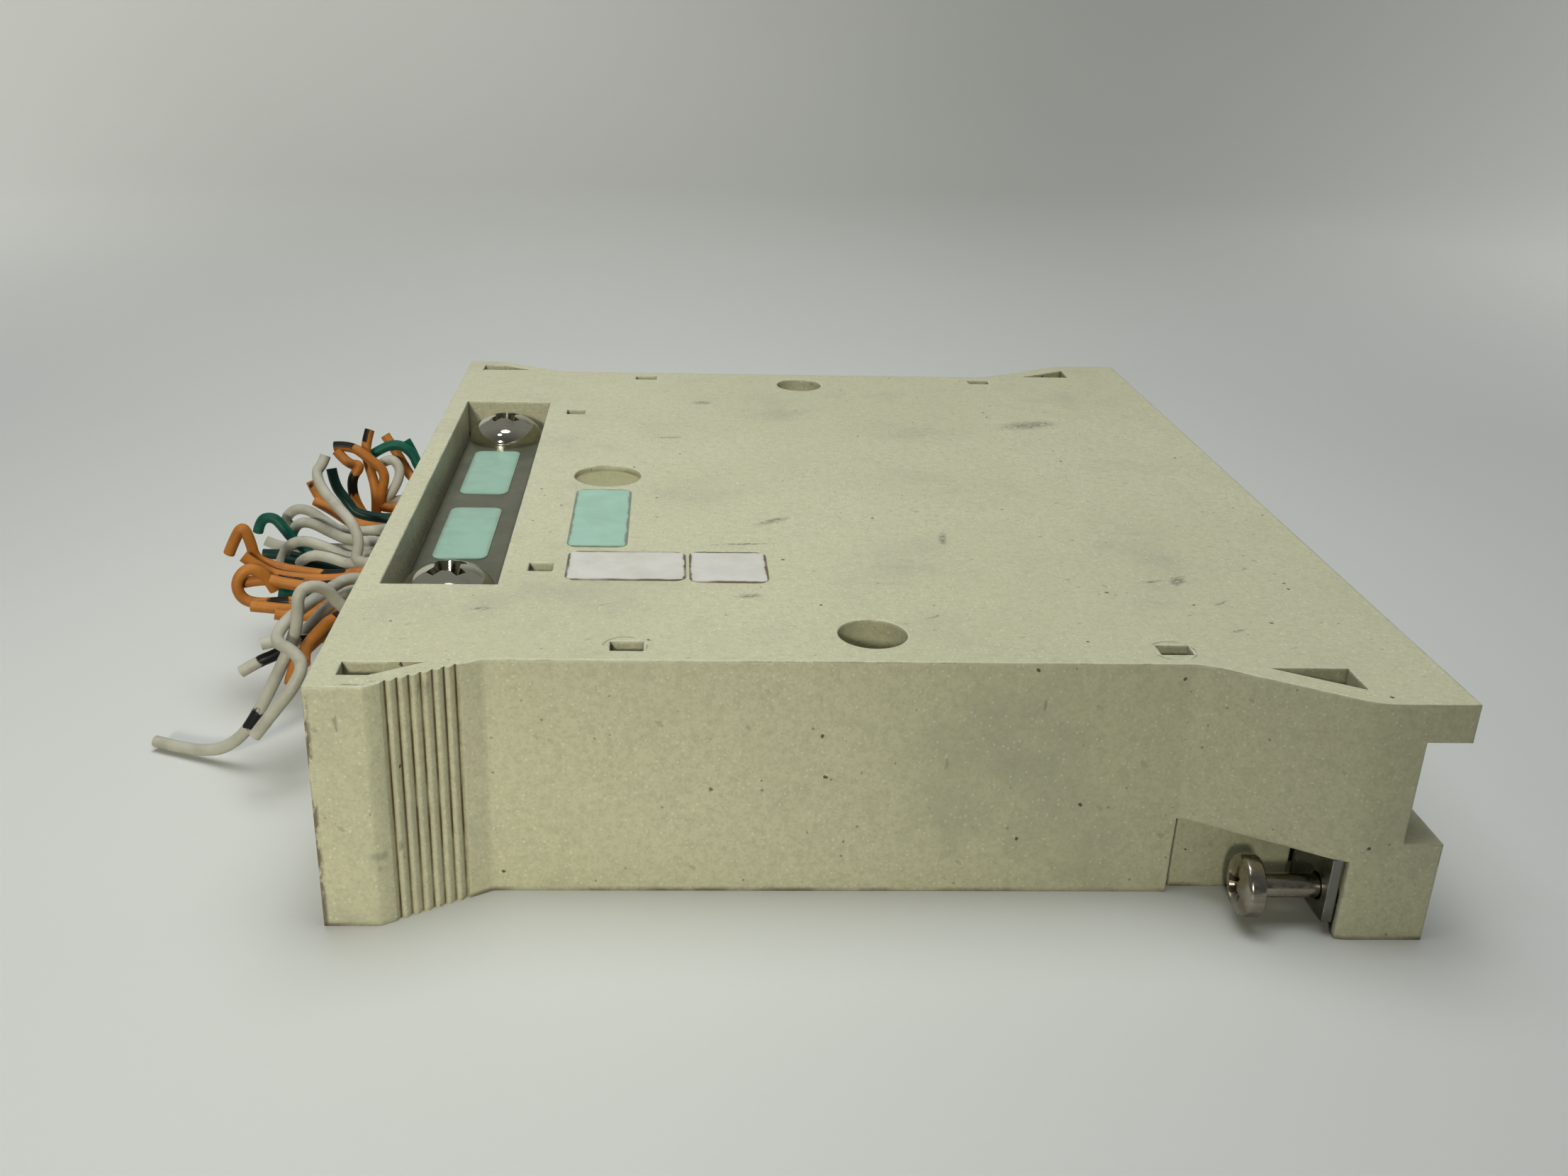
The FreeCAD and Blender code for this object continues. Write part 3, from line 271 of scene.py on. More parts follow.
def ivory_plastic():
    """Yellowed moulded plastic with a spark-eroded grain, specks, painted glints, rub marks, worn edges with
    a painted highlight, and dirt with painted shade in its grooves and hollows.
    """
    f = Finish("ivory_plastic")
    place = f.parts(f.place)
    upper = f.span(place["Z"], 29.3 * MM, 29.6 * MM)
    hairs = f.span(f.noise(130.0, 3.0, 0.6, f.moved((1.0, 0.16, 1.0), turn=(0, 0, 0.5))), 0.690, 0.735)
    dashes = f.dots(360.0, 0.12, 0.40, f.moved((2.6, 1.0, 1.0), turn=(0.35, 0.6, 0.5)))
    colour = f.blend(f.span(f.noise(20.0, 3.0), 0.35, 0.65), IVORY, DEEP_IVORY)
    for mark, tint in (
            (f.span(f.noise(900.0, 4.0, 0.7), 0.40, 0.70, 0.0, 0.40), MOTTLE),
            (f.span(f.noise(2400.0, 2.0, 0.6), 0.44, 0.66, 0.0, 0.34), FINE_MOTTLE),
            (f.span(f.noise(44.0, 6.0, 0.68), 0.50, 0.74, 0.0, 0.52), GREY_HAZE),
            # Painted glints: pale specks that stand in for the sparkle of the grain
            (f.times(f.dots(1700.0, 0.32, 0.25), 0.45), PAINTED_GLINT),
            (f.times(hairs, f.span(f.noise(45.0, 2.0), 0.50, 0.64), 0.55), HAIRLINE),
            (rub_marks(f), RUBBED),
            (f.times(witness_rings(f), upper), RING_LINE),
            (f.times(f.dots(300.0, 0.085, 0.30), 0.92), BLACK_SPECK),
            (f.times(dashes, 0.38), TAN_DASH),
            (f.times(f.dots(520.0, 0.105, 0.25), 0.65), BROWN_SPECK)):
        colour = f.blend(mark, colour, tint)
    sunk = f.span(f.away(SUNK_MARK, (5.1, 5.1, ENDLESS)), 0.96, 1.0, 1.0, 0.0)
    sunk = f.times(sunk, f.math("SUBTRACT", 1.0, upper))
    colour = f.blend(sunk, colour, SUNK_TINT, "MULTIPLY")

    from_ribs = f.math("ABSOLUTE", f.math("SUBTRACT", place["X"], RIBS_X * MM))
    ribs = f.times(f.span(from_ribs, (RIBS_HALF - 0.05) * MM, (RIBS_HALF + 0.05) * MM, 1.0, 0.0),
                   f.span(f.math("ABSOLUTE", place["Y"]), RIBS_SIDE * MM, (RIBS_SIDE + 0.5) * MM))
    rolled = f.blend(ribs, f.rounded(0.0006), f.add("ShaderNodeNewGeometry").outputs["Normal"])
    hollow = f.hollow(0.0011)
    clear = f.times(f.math("SUBTRACT", 1.0, hollow), f.math("SUBTRACT", 1.0, ribs))
    # Paler along the edges: wear, and a painted highlight where the rolled edges catch the light
    worn = f.times(f.ridge(rolled), clear, f.span(f.noise(520.0, 3.0), 0.34, 0.56, 0.35, 0.85))
    colour = f.blend(worn, colour, WORN_EDGE_AND_HIGHLIGHT)
    chips = f.times(f.ridge(rolled, 0.74, 0.86), clear, f.span(f.noise(230.0, 4.0, 0.6), 0.54, 0.60), 0.85)
    corner = f.span(f.away(CHIPPED_CORNER, (0.75, 0.75, ENDLESS)), 0.35, 1.0, 1.0, 0.0)
    corner = f.times(corner, f.span(f.noise(300.0, 5.0, 0.7, f.moved((1.0, 1.0, 2.5))), 0.46, 0.56), 0.9)
    colour = f.blend(f.math("MAXIMUM", chips, corner), colour, CHIPPED)

    # Darker towards the bottom edge, in patches
    foot = f.times(f.span(place["Z"], 0.15 * MM, 0.75 * MM, 1.0, 0.0),
                   f.span(f.noise(150.0, 4.0), 0.38, 0.60, 0.2, 0.8))
    # Dirt and painted shade in the hollows and at the bottoms of the grooves, blended in one dark colour
    grime_and_shade = f.times(hollow, f.span(f.noise(330.0, 4.0, 0.65), 0.30, 0.62, 0.25, 0.80))
    groove = f.times(f.span(f.attribute("grime_and_shade"), 0.50, 0.92),
                     f.span(f.noise(160.0, 4.0), 0.25, 0.60, 0.45, 1.0))
    dirt_and_shade = f.math("MAXIMUM", f.math("MAXIMUM", grime_and_shade, groove), foot)
    colour = f.blend(dirt_and_shade, colour, DARK_DIRT_AND_SHADE)
    grain = f.bump(f.noise(3000.0, 3.0, 0.6), 0.00008, 0.85, rolled)
    f.set(Base_Color=colour, Roughness=f.span(f.noise(240.0, 3.0), 0.3, 0.7, 0.31, 0.45),
          Normal=f.bump(f.noise(800.0, 2.0), 0.00014, 0.45, grain))
    return f.material


def bar_paint():
    """Warm grey satin paint, dusty and scratched, with painted shade where it meets the walls."""
    f = Finish("bar_paint")
    cloudy = f.span(f.noise(90.0, 4.0, 0.6), 0.38, 0.68)
    colour = f.blend(cloudy, (0.082, 0.086, 0.056), (0.100, 0.103, 0.067))
    dust = f.span(f.noise(210.0, 6.0, 0.7), 0.50, 0.74, 0.0, 0.35)
    colour = f.blend(dust, colour, (0.145, 0.146, 0.098))
    streaky = f.moved((0.12, 1.0, 1.0), turn=(0, 0, 0.3))
    scratch = f.span(f.noise(160.0, 3.0, 0.6, streaky), 0.700, 0.730, 0.0, 0.30)
    colour = f.blend(scratch, colour, (0.200, 0.200, 0.155))
    # Painted shade in hollows and where the bar meets the walls
    colour = f.blend(f.times(f.hollow(0.0016, False), 0.8), colour, (0.018, 0.016, 0.011))
    f.set(Base_Color=colour, Metallic=0.25, Roughness=f.span(f.noise(170.0, 4.0), 0.35, 0.70, 0.34, 0.50),
          Normal=f.bump(f.noise(1700.0, 2.0), 0.00003, 0.4, f.rounded(0.0002)))
    return f.material


def bright_nickel():
    """Mirror plating, faintly clouded, with painted shade in the recess."""
    f = Finish("bright_nickel")
    stain = f.span(f.noise(300.0, 5.0, 0.65), 0.52, 0.78, 0.0, 0.6)
    colour = f.blend(stain, (0.62, 0.60, 0.50), (0.42, 0.40, 0.32))
    # Painted shade in the cross recess
    dark = f.times(f.hollow(0.0012), f.span(f.noise(900.0, 3.0), 0.35, 0.6))
    colour = f.blend(dark, colour, (0.050, 0.040, 0.030))
    f.set(Base_Color=colour, Metallic=1.0, Roughness=f.span(stain, 0.0, 0.6, 0.075, 0.20),
          Normal=f.bump(f.noise(420.0, 2.0), 0.00002, 0.16))
    return f.material


def worn_steel():
    """Dull plating of the captive screws, with rust in the recess and the thread."""
    f = Finish("worn_steel")
    stain = f.span(f.noise(420.0, 4.0, 0.6, f.moved((14.0, 1.0, 1.0))), 0.40, 0.66)
    colour = f.blend(stain, (0.380, 0.350, 0.295), (0.235, 0.195, 0.145))
    rust = f.times(f.hollow(0.0014), f.span(f.noise(1300.0, 4.0, 0.7), 0.28, 0.50))
    colour = f.blend(rust, colour, (0.062, 0.021, 0.009))
    f.set(Base_Color=colour, Metallic=f.span(rust, 0.2, 0.9, 1.0, 0.1),
          Roughness=f.span(f.math("ADD", rust, f.noise(700.0, 3.0)), 0.3, 1.3, 0.15, 0.70),
          Normal=f.bump(f.noise(700.0, 2.0, 0.5, f.moved((14.0, 1.0, 1.0))), 0.00001, 0.10))
    return f.material


def zinc_plate(name, light, dark):
    """Dull plated steel, clouded and rubbed bright along its edges, with painted shade in its hollows."""
    f = Finish(name)
    colour = f.blend(f.span(f.noise(170.0, 4.0, 0.6), 0.38, 0.68), light, dark)
    rub = f.times(f.ridge(f.rounded(0.0003)), f.span(f.noise(500.0, 2.0), 0.40, 0.60))
    colour = f.blend(rub, colour, tuple(min(1.0, 1.6 * part) for part in light))
    # Painted shade in the hollows
    colour = f.blend(f.times(f.hollow(0.0010), 0.7), colour, (0.070, 0.066, 0.058))
    f.set(Base_Color=colour, Metallic=1.0, Roughness=f.span(f.noise(520.0, 3.0), 0.3, 0.7, 0.24, 0.44),
          Normal=f.bump(f.noise(900.0, 2.0), 0.00002, 0.3, f.rounded(0.00015)))
    return f.material


def turned_brass():
    """Tarnished brass with fine turning marks."""
    f = Finish("turned_brass")
    tarnish = f.span(f.noise(350.0, 4.0), 0.40, 0.70)
    colour = f.blend(tarnish, (0.62, 0.44, 0.18), (0.36, 0.23, 0.09))
    turning = f.noise(900.0, 2.0, 0.5, f.moved((4.0, 4.0, 0.4)))
    f.set(Base_Color=colour, Metallic=1.0, Roughness=f.span(tarnish, 0.0, 1.0, 0.24, 0.45),
          Normal=f.bump(turning, 0.00002, 0.4))
    return f.material


def moulded_plastic(name, light, dark, roughness):
    """Plain moulded plastic of the inner pieces, dusty, with painted shade in its corners."""
    f = Finish(name)
    colour = f.blend(f.span(f.noise(60.0, 4.0, 0.6), 0.35, 0.70), light, dark)
    dust = f.span(f.noise(380.0, 3.0), 0.55, 0.75, 0.0, 0.22)
    colour = f.blend(dust, colour, (0.42, 0.41, 0.36))
    shade = tuple(0.30 * part for part in dark)
    colour = f.blend(f.times(f.hollow(0.0012), 0.75), colour, shade)
    rough = f.span(f.noise(250.0, 2.0), 0.3, 0.7, roughness - 0.07, roughness + 0.08)
    f.set(Base_Color=colour, Roughness=rough,
          Normal=f.bump(f.noise(1400.0, 2.0), 0.00003, 0.4, f.rounded(0.0002)))
    return f.material


def board_mask():
    """Solder mask with pale copper tracks that show through it."""
    f = Finish("board_mask")
    tracks = f.add("ShaderNodeTexBrick", offset=0.5)
    f.join(f.place, tracks.inputs["Vector"])
    for name, value in (("Scale", 55.0), ("Mortar Size", 0.035), ("Brick Width", 0.9), ("Row Height", 0.14)):
        tracks.inputs[name].default_value = value
    colour = f.blend(f.span(f.noise(45.0, 3.0), 0.35, 0.7), (0.030, 0.150, 0.060), (0.022, 0.115, 0.050))
    colour = f.blend(f.times(tracks.outputs["Fac"], 0.55), colour, (0.055, 0.255, 0.095))
    f.set(Base_Color=colour, Roughness=f.span(f.noise(300.0, 2.0), 0.3, 0.7, 0.28, 0.38),
          Normal=f.bump(tracks.outputs["Fac"], 0.00004, 0.5))
    return f.material


def sticker_paper(node, light, soiled, grubby):
    """Coated paper, bare, with a worn and grubby rim."""
    f = Finish(f"{node}_paper")
    low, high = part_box(node)
    middle = (low + high) / 2
    half = (high - low) / 2
    side = f.parts(f.moved(shift=tuple(middle)))
    from_x = f.math("SUBTRACT", f.math("ABSOLUTE", side["X"]), half.x)
    from_y = f.math("SUBTRACT", f.math("ABSOLUTE", side["Y"]), half.y)
    wander = f.times(f.math("SUBTRACT", f.noise(420.0, 3.0, 0.6), 0.5), 0.0008)
    inward = f.math("ADD", f.math("MAXIMUM", from_x, from_y), wander)
    colour = f.blend(f.span(f.noise(150.0, 5.0, 0.65), 0.42, 0.72, 0.0, 0.55), light, soiled)
    folded = f.moved((1.0, 0.2, 1.0), turn=(0, 0, 0.8))
    crease = f.span(f.noise(75.0, 3.0, 0.6, folded), 0.68, 0.72, 0.0, 0.35)
    colour = f.blend(crease, colour, soiled)
    colour = f.blend(f.span(inward, -0.0010, -0.0001, 0.0, 0.45), colour, soiled)
    rim = f.times(f.span(inward, -0.00042, -0.00022),
                  f.span(f.noise(210.0, 3.0), 0.30, 0.52, 0.45, 1.0), grubby)
    colour = f.blend(rim, colour, (0.085, 0.058, 0.032))
    f.set(Base_Color=colour, Roughness=f.span(f.noise(300.0, 2.0), 0.3, 0.7, 0.30, 0.44),
          Normal=f.bump(f.noise(260.0, 3.0), 0.00005, 0.35))
    return f.material


BAND_LONG, BAND_SOFT, BAND_RAGGED = 3.15, 0.27, 2.25


def insulation(name, light, dark, ink, apart):
    """Soft vinyl with black ragged bands along the wire, that many millimetres apart."""
    f = Finish(name)
    colour = f.blend(f.span(f.noise(180.0, 4.0, 0.6), 0.35, 0.72), light, dark)
    soot = f.span(f.noise(320.0, 4.0, 0.65), 0.56, 0.76, 0.0, 0.45)
    colour = f.blend(soot, colour, tuple(0.40 * part for part in dark))
    ragged = f.math("SUBTRACT", f.noise(1100.0, 3.0), 0.5)
    along = f.math("ADD", f.attribute("along"), f.times(ragged, BAND_RAGGED * MM))
    along = f.times(f.math("FRACT", f.times(along, 1.0 / (apart * MM))), apart)
    band = f.times(f.span(along, 0.0, BAND_SOFT),
                   f.span(along, BAND_LONG, BAND_LONG + BAND_SOFT, 1.0, 0.0))
    side = f.span(f.math("ADD", f.attribute("around"), f.times(ragged, 0.10)), 0.68, 0.72, 1.0, 0.0)
    colour = f.blend(f.times(band, side), colour, ink)
    f.set(Base_Color=colour, Specular_IOR_Level=0.22,
          Roughness=f.span(f.noise(400.0, 3.0), 0.3, 0.7, 0.38, 0.54),
          Normal=f.bump(f.noise(600.0, 3.0), 0.00006, 0.35))
    return f.material


def cut_copper():
    """Bare strands of copper in a cut wire end, partly darkened."""
    f = Finish("cut_copper")
    colour = f.blend(f.span(f.noise(2500.0, 2.0), 0.35, 0.65), (0.42, 0.20, 0.10), (0.16, 0.10, 0.07))
    f.set(Base_Color=colour, Metallic=0.9, Roughness=f.span(f.noise(1500.0, 2.0), 0.3, 0.7, 0.35, 0.6))
    return f.material


# Wires: each strand runs from its terminal to the slot, and then on through its points to its cut end.
# A strand has a colour, its side (y), its sway midway in the block, its level (z) and its points. Sizes are
# in millimetres, and the inset of the copper core is a share of the width.

WIRE_ACROSS = 1.65
CORE_INSET = 0.26
TERMINAL_X, MIDWAY_X, SLOT_X = -36.8, -50.0, -62.8
WIRES = {
    "white_wire_tail": [
        ("white", -28.4, -0.5, 18.2, [
            (-67.6, -28.6, 20.8), (-69.4, -29.6, 24.6), (-72.2, -32.0, 25.0), (-72.5, -32.4, 21.0),
            (-73.2, -33.0, 18.2), (-74.9, -34.2, 14.6), (-77.6, -35.0, 9.4), (-81.0, -34.8, 4.2),
            (-86.6, -32.8, 0.9), (-94.2, -29.6, 1.2),
        ]),
    ],
    "white_wire_short": [
        ("white", -26.6, -0.5, 18.2, [
            (-70.6, -27.4, 16.0), (-73.6, -29.4, 16.4), (-75.6, -30.4, 17.0), (-78.0, -31.0, 16.6),
        ]),
    ],
    "white_wire_bent": [
        ("white", -18.4, -0.5, 18.2, [
            (-67.0, -21.6, 23.0), (-70.2, -26.0, 22.2), (-72.6, -29.6, 21.2), (-74.4, -33.0, 20.4),
            (-74.8, -36.0, 19.2), (-72.0, -38.0, 19.0), (-70.4, -39.4, 17.6), (-71.8, -40.6, 14.8),
            (-74.2, -41.2, 12.0), (-77.0, -41.4, 8.4),
        ]),
    ],
    "white_wire_stub": [
        ("white", -16.6, -0.5, 18.2, [
            (-68.2, -21.0, 20.6), (-70.6, -25.0, 19.2), (-72.4, -27.4, 17.6), (-74.4, -29.0, 15.6),
            (-76.6, -30.2, 14.6), (-78.6, -30.8, 14.0), (-81.0, -31.2, 12.6),
        ]),
    ],
    "orange_wire_bent": [
        ("orange", -8.4, -0.5, 18.2, [
            (-72.8, -9.4, 17.0), (-77.0, -10.0, 17.4), (-81.2, -10.2, 18.0), (-83.8, -10.4, 19.6),
            (-85.4, -10.4, 21.0),
        ]),
    ],
    "orange_wire_hook": [
        ("orange", -6.6, -0.5, 18.2, [
            (-73.0, -7.4, 16.8), (-77.4, -8.0, 17.6), (-81.2, -8.2, 18.4), (-84.4, -8.2, 19.6),
            (-84.8, -8.2, 22.6), (-85.6, -8.4, 25.0), (-87.0, -8.4, 22.8), (-88.0, -8.4, 20.6),
        ]),
    ],
    "orange_pair_low": [
        ("orange", -23.3, -0.5, 18.6, [
            (-69.2, -26.6, 18.8), (-70.8, -30.0, 17.8), (-72.0, -33.4, 16.8), (-71.4, -35.4, 15.8),
        ]),
        ("orange", -21.7, -0.5, 17.8, [
            (-70.0, -26.0, 16.8), (-71.6, -30.6, 16.4), (-73.0, -34.0, 15.6), (-73.2, -36.4, 13.4),
        ]),
    ],
    "orange_pair_loop": [
        ("orange", -13.3, -0.5, 18.2, [
            (-74.4, -13.4, 15.0), (-78.6, -13.6, 15.4), (-82.4, -13.8, 15.0), (-85.2, -13.8, 15.6),
            (-86.0, -13.6, 18.2), (-84.2, -13.1, 20.4), (-82.0, -12.4, 19.2), (-81.0, -11.8, 16.4),
        ]),
        ("orange", -11.7, -0.5, 18.8, [
            (-74.8, -11.8, 16.8), (-79.0, -12.0, 17.4), (-82.4, -12.2, 18.4), (-86.2, -12.2, 17.4),
        ]),
        ("orange", -14.1, -0.5, 17.4, [
            (-74.2, -15.4, 15.0), (-78.2, -16.2, 15.2), (-80.8, -16.4, 15.6), (-83.2, -16.4, 15.8),
        ]),
        ("orange", -12.5, -0.5, 17.2, [
            (-73.8, -16.6, 14.8), (-76.6, -17.4, 14.6), (-79.6, -17.8, 15.2),
        ]),
    ],
    "white_pair_upright": [
        ("white", -3.3, -0.5, 18.2, [
            (-71.2, -4.2, 17.2), (-70.4, -2.0, 20.0), (-71.8, 0.8, 22.0), (-74.6, 4.2, 23.4),
            (-77.8, 8.2, 24.8), (-79.2, 10.4, 27.0), (-78.2, 11.4, 28.0), (-77.8, 12.0, 29.2),
        ]),
        ("white", -1.7, 0.5, 18.2, [
            (-72.2, -0.6, 15.8), (-75.8, 0.4, 16.8), (-79.0, 0.8, 17.0), (-80.6, 0.8, 15.4),
        ]),
    ],
    "white_pair_curl": [
        ("white", 1.7, 0.5, 18.2, [
            (-72.8, 2.2, 15.6), (-76.0, 2.4, 17.4), (-80.0, 2.6, 18.8), (-82.8, 2.6, 17.6),
            (-83.8, 2.6, 14.8),
        ]),
        ("white", 3.3, 0.5, 18.2, [
            (-73.4, 5.0, 17.6), (-77.2, 7.6, 18.2), (-80.4, 8.4, 19.6), (-82.6, 8.6, 19.0),
            (-83.2, 8.6, 17.4),
        ]),
        ("white", 2.5, 0.5, 17.2, [
            (-77.4, 6.0, 16.0), (-82.8, 9.4, 15.0), (-85.8, 9.8, 14.8), (-87.8, 9.8, 15.8),
        ]),
    ],
    "green_pair_loop": [
        ("green", 6.7, -0.5, 18.2, [
            (-77.6, 6.4, 14.0), (-81.0, 6.8, 15.4), (-82.8, 7.2, 17.0), (-84.2, 7.6, 18.8),
            (-85.6, 8.0, 20.4), (-87.8, 8.2, 20.0), (-88.4, 8.4, 17.8),
        ]),
        ("dark_green", 8.3, -0.5, 18.6, [
            (-72.8, 2.8, 13.8), (-76.2, 1.4, 14.4), (-79.8, 1.0, 15.2), (-82.6, 1.0, 16.0),
        ]),
        ("dark_green", 7.5, -0.5, 17.4, [
            (-77.6, 4.6, 14.4), (-82.2, 4.4, 15.2), (-84.2, 4.4, 15.6), (-86.8, 4.4, 15.6),
        ]),
        ("green", 6.3, -0.5, 17.2, [
            (-74.4, -1.4, 13.4), (-77.2, -5.0, 13.2), (-79.6, -6.8, 13.8), (-81.8, -7.2, 14.2),
        ]),
    ],
    "white_pair_arch": [
        ("white", 11.7, 0.5, 18.2, [
            (-75.8, 12.0, 16.2), (-78.6, 12.0, 18.2), (-81.2, 12.2, 20.2), (-83.6, 12.4, 20.2),
            (-85.4, 12.4, 18.2), (-84.2, 12.4, 17.2),
        ]),
        ("dark_green", 13.3, 0.5, 18.2, [
            (-73.8, 13.4, 18.6), (-75.6, 14.4, 21.0), (-77.6, 15.4, 23.2), (-78.0, 16.0, 25.8),
        ]),
    ],
    "orange_pair_far": [
        ("orange", 21.7, 0.5, 18.2, [
            (-73.4, 22.0, 11.4), (-72.6, 22.0, 16.6), (-72.6, 22.6, 20.6), (-73.8, 24.2, 23.8),
            (-74.6, 25.6, 26.2), (-73.8, 27.0, 29.0),
        ]),
        ("orange", 23.3, -0.5, 18.2, [
            (-72.4, 22.4, 16.4), (-71.6, 22.6, 19.8), (-70.8, 22.8, 23.2), (-73.6, 23.2, 25.4),
            (-76.2, 23.4, 27.4), (-79.0, 23.4, 27.2),
        ]),
        ("orange", 22.5, -0.5, 17.4, [
            (-73.6, 20.8, 14.8), (-75.8, 20.6, 18.8), (-76.2, 21.2, 22.4), (-74.4, 21.8, 24.6),
            (-76.8, 22.4, 24.4), (-78.6, 23.0, 26.6),
        ]),
        ("orange", 18.3, 0.5, 18.2, [
            (-72.8, 18.6, 13.6), (-74.6, 19.0, 15.6), (-76.0, 19.2, 17.0),
        ]),
        ("orange", 16.7, 0.5, 18.2, [
            (-74.6, 16.8, 15.4), (-77.4, 17.8, 17.0), (-79.8, 18.4, 18.4), (-81.8, 18.8, 19.4),
        ]),
        ("orange", 17.5, 0.5, 17.3, [
            (-74.8, 17.6, 15.4), (-78.4, 18.6, 17.2), (-81.2, 19.4, 19.4), (-82.4, 19.8, 22.4),
        ]),
        ("orange", 24.1, 0.5, 18.6, [
            (-67.4, 27.2, 20.6), (-68.6, 28.0, 22.4), (-70.2, 28.8, 25.0), (-71.8, 29.4, 27.4),
        ]),
    ],
    "green_pair_far": [
        ("green", 26.7, 0.5, 18.2, [
            (-66.2, 27.2, 22.4), (-67.0, 27.6, 24.8), (-69.0, 27.6, 26.4), (-71.4, 27.4, 26.2),
            (-73.6, 27.0, 24.8),
        ]),
        ("white", 28.3, -0.5, 18.2, [
            (-72.0, 23.4, 17.2), (-69.6, 24.0, 20.0), (-68.6, 25.0, 23.0), (-70.6, 25.6, 25.0),
            (-73.0, 25.6, 22.8),
        ]),
        ("green", 27.5, 0.5, 17.4, [
            (-66.6, 29.2, 22.2), (-67.6, 30.0, 24.6), (-68.6, 30.4, 26.2),
        ]),
    ],
}

# Material slot, light and dark colour, ink of the bands, and how far apart the bands are in millimetres
INSULATION = {
    "white": ("white_insulation",
              (0.390, 0.378, 0.312), (0.285, 0.272, 0.215), (0.006, 0.006, 0.006), 45.0),
    "orange": ("orange_insulation",
               (0.400, 0.152, 0.026), (0.290, 0.098, 0.015), (0.010, 0.007, 0.004), 22.5),
    "green": ("green_insulation",
              (0.005, 0.088, 0.056), (0.003, 0.048, 0.032), (0.004, 0.014, 0.010), 45.0),
    "dark_green": ("green_insulation",
                   (0.005, 0.030, 0.020), (0.003, 0.016, 0.011), (0.003, 0.007, 0.006), 45.0),
}

# How far the bands of a strand are moved along it, in millimetres: a step times its number, or a value of
# its own. They are also moved around it, by a share of a turn times its number
BAND_STEP = 5.3
BAND_SHIFT = {"white_wire_tail_a": 33.5, "white_wire_stub_a": 44.0}
BAND_TURN = 0.37


def whole_route(side, sway, level, points):
    """Control points of a strand, with those inside the block."""
    inside = ((TERMINAL_X, side), (MIDWAY_X, side + sway), (SLOT_X, side))
    return [*((x, y, level) for x, y in inside), *points]


def new_curve(name, kind, places):
    """Curve with one spline of that kind along the places, and the spline."""
    curve = bpy.data.curves.new(name, "CURVE")
    curve.dimensions = "3D"
    spline = curve.splines.new(kind)
    spline.points.add(len(places) - 1)
    for knot, place in zip(spline.points, places):
        knot.co = (*place, 1.0)
    return curve, spline


def mesh_from(curve):
    """Mesh made from the curve, which is then removed."""
    holder = bpy.data.objects.new(curve.name, curve)
    mesh = bpy.data.meshes.new_from_object(holder)
    bpy.data.objects.remove(holder)
    bpy.data.curves.remove(curve)
    return mesh


def smooth_line(points):
    """Points along the smooth route that the control points give, in metres."""
    curve, spline = new_curve("route", "NURBS", [[part * MM for part in point] for point in points])
    spline.order_u = 3
    spline.use_endpoint_u = True
    spline.resolution_u = 14
    line = mesh_from(curve)
    places = [vertex.co.copy() for vertex in line.vertices]
    bpy.data.meshes.remove(line)
    return places


def wire_tube(name, places):
    """Round tube along the places."""
    curve, _ = new_curve(name, "POLY", places)
    curve.bevel_depth = WIRE_ACROSS * MM / 2
    curve.bevel_resolution = 4
    curve.use_fill_caps = True
    return mesh_from(curve)


def make_wire(name, node, number, colour, points):
    """One strand with its distance along and around kept on each vertex, and a copper core in its cut end."""
    places = smooth_line(points)
    mesh = wire_tube(name, places)
    ring = len(mesh.vertices) // len(places)
    reach = [0.0]
    for before, after in zip(places, places[1:]):
        reach.append(reach[-1] + (after - before).length)
    shift = BAND_SHIFT.get(name, BAND_STEP * number) * MM
    along = mesh.attributes.new("along", "FLOAT", "POINT")
    around = mesh.attributes.new("around", "FLOAT", "POINT")
    for index in range(len(mesh.vertices)):
        along.data[index].value = reach[min(index // ring, len(reach) - 1)] + shift
        around.data[index].value = abs(2 * (((index % ring) / ring + BAND_TURN * number) % 1.0) - 1)
    work = bmesh.new()
    work.from_mesh(mesh)
    ends = [face for face in work.faces if len(face.verts) == ring]
    bmesh.ops.inset_individual(work, faces=ends, thickness=WIRE_ACROSS * MM * CORE_INSET)
    for face in ends:
        face.material_index = 1
    for face in work.faces:
        face.smooth = len(face.verts) == 4
    work.to_mesh(mesh)
    work.free()
    wire = linked(name, mesh)
    dress(wire, insulations[colour], copper)
    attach(wire, "tray")
    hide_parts(node)


# Shaping helpers for the rigid pieces. Corners closer than this, in metres, are made one

MERGE = 2e-6


def finished_piece(name, work, finish, body, node):
    """Object made from the shaped mesh, smooth except at its crisp edges, with flat faces kept flat."""
    for face in work.faces:
        face.smooth = True
    for edge in work.edges:
        edge.smooth = not crisp(edge)
    piece = linked(name, mesh_of(work, name))
    even = piece.modifiers.new("even_shading", "WEIGHTED_NORMAL")
    even.keep_sharp = True
    even.weight = 80
    dress(piece, finish)
    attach(piece, body)
    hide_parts(node)


def in_groove(item):
    """True for the edges and faces of the grip ribs on the cover's sides."""
    return all(abs(vertex.co.x - RIBS_X * MM) < RIBS_HALF * MM and abs(vertex.co.y) > RIBS_SIDE * MM
               for vertex in item.verts)


def crisp(edge):
    """True where the shading breaks: at sharp corners, and at creases between two broad faces."""
    if len(edge.link_faces) != 2:
        return True
    angle = math.degrees(edge.calc_face_angle(0.0))
    upright = abs(edge.verts[0].co.z - edge.verts[1].co.z) > 5 * MM
    if upright and in_groove(edge) and abs(edge.verts[0].co.x - RIBS_X * MM) < (RIBS_HALF - 0.15) * MM:
        return edge.calc_face_angle_signed(0.0) < 0 and angle > 20
    narrow = min(face.calc_area() for face in edge.link_faces) / max(edge.calc_length(), 1e-6)
    return angle > 50 or (angle > 10 and narrow > 1.3 * MM)


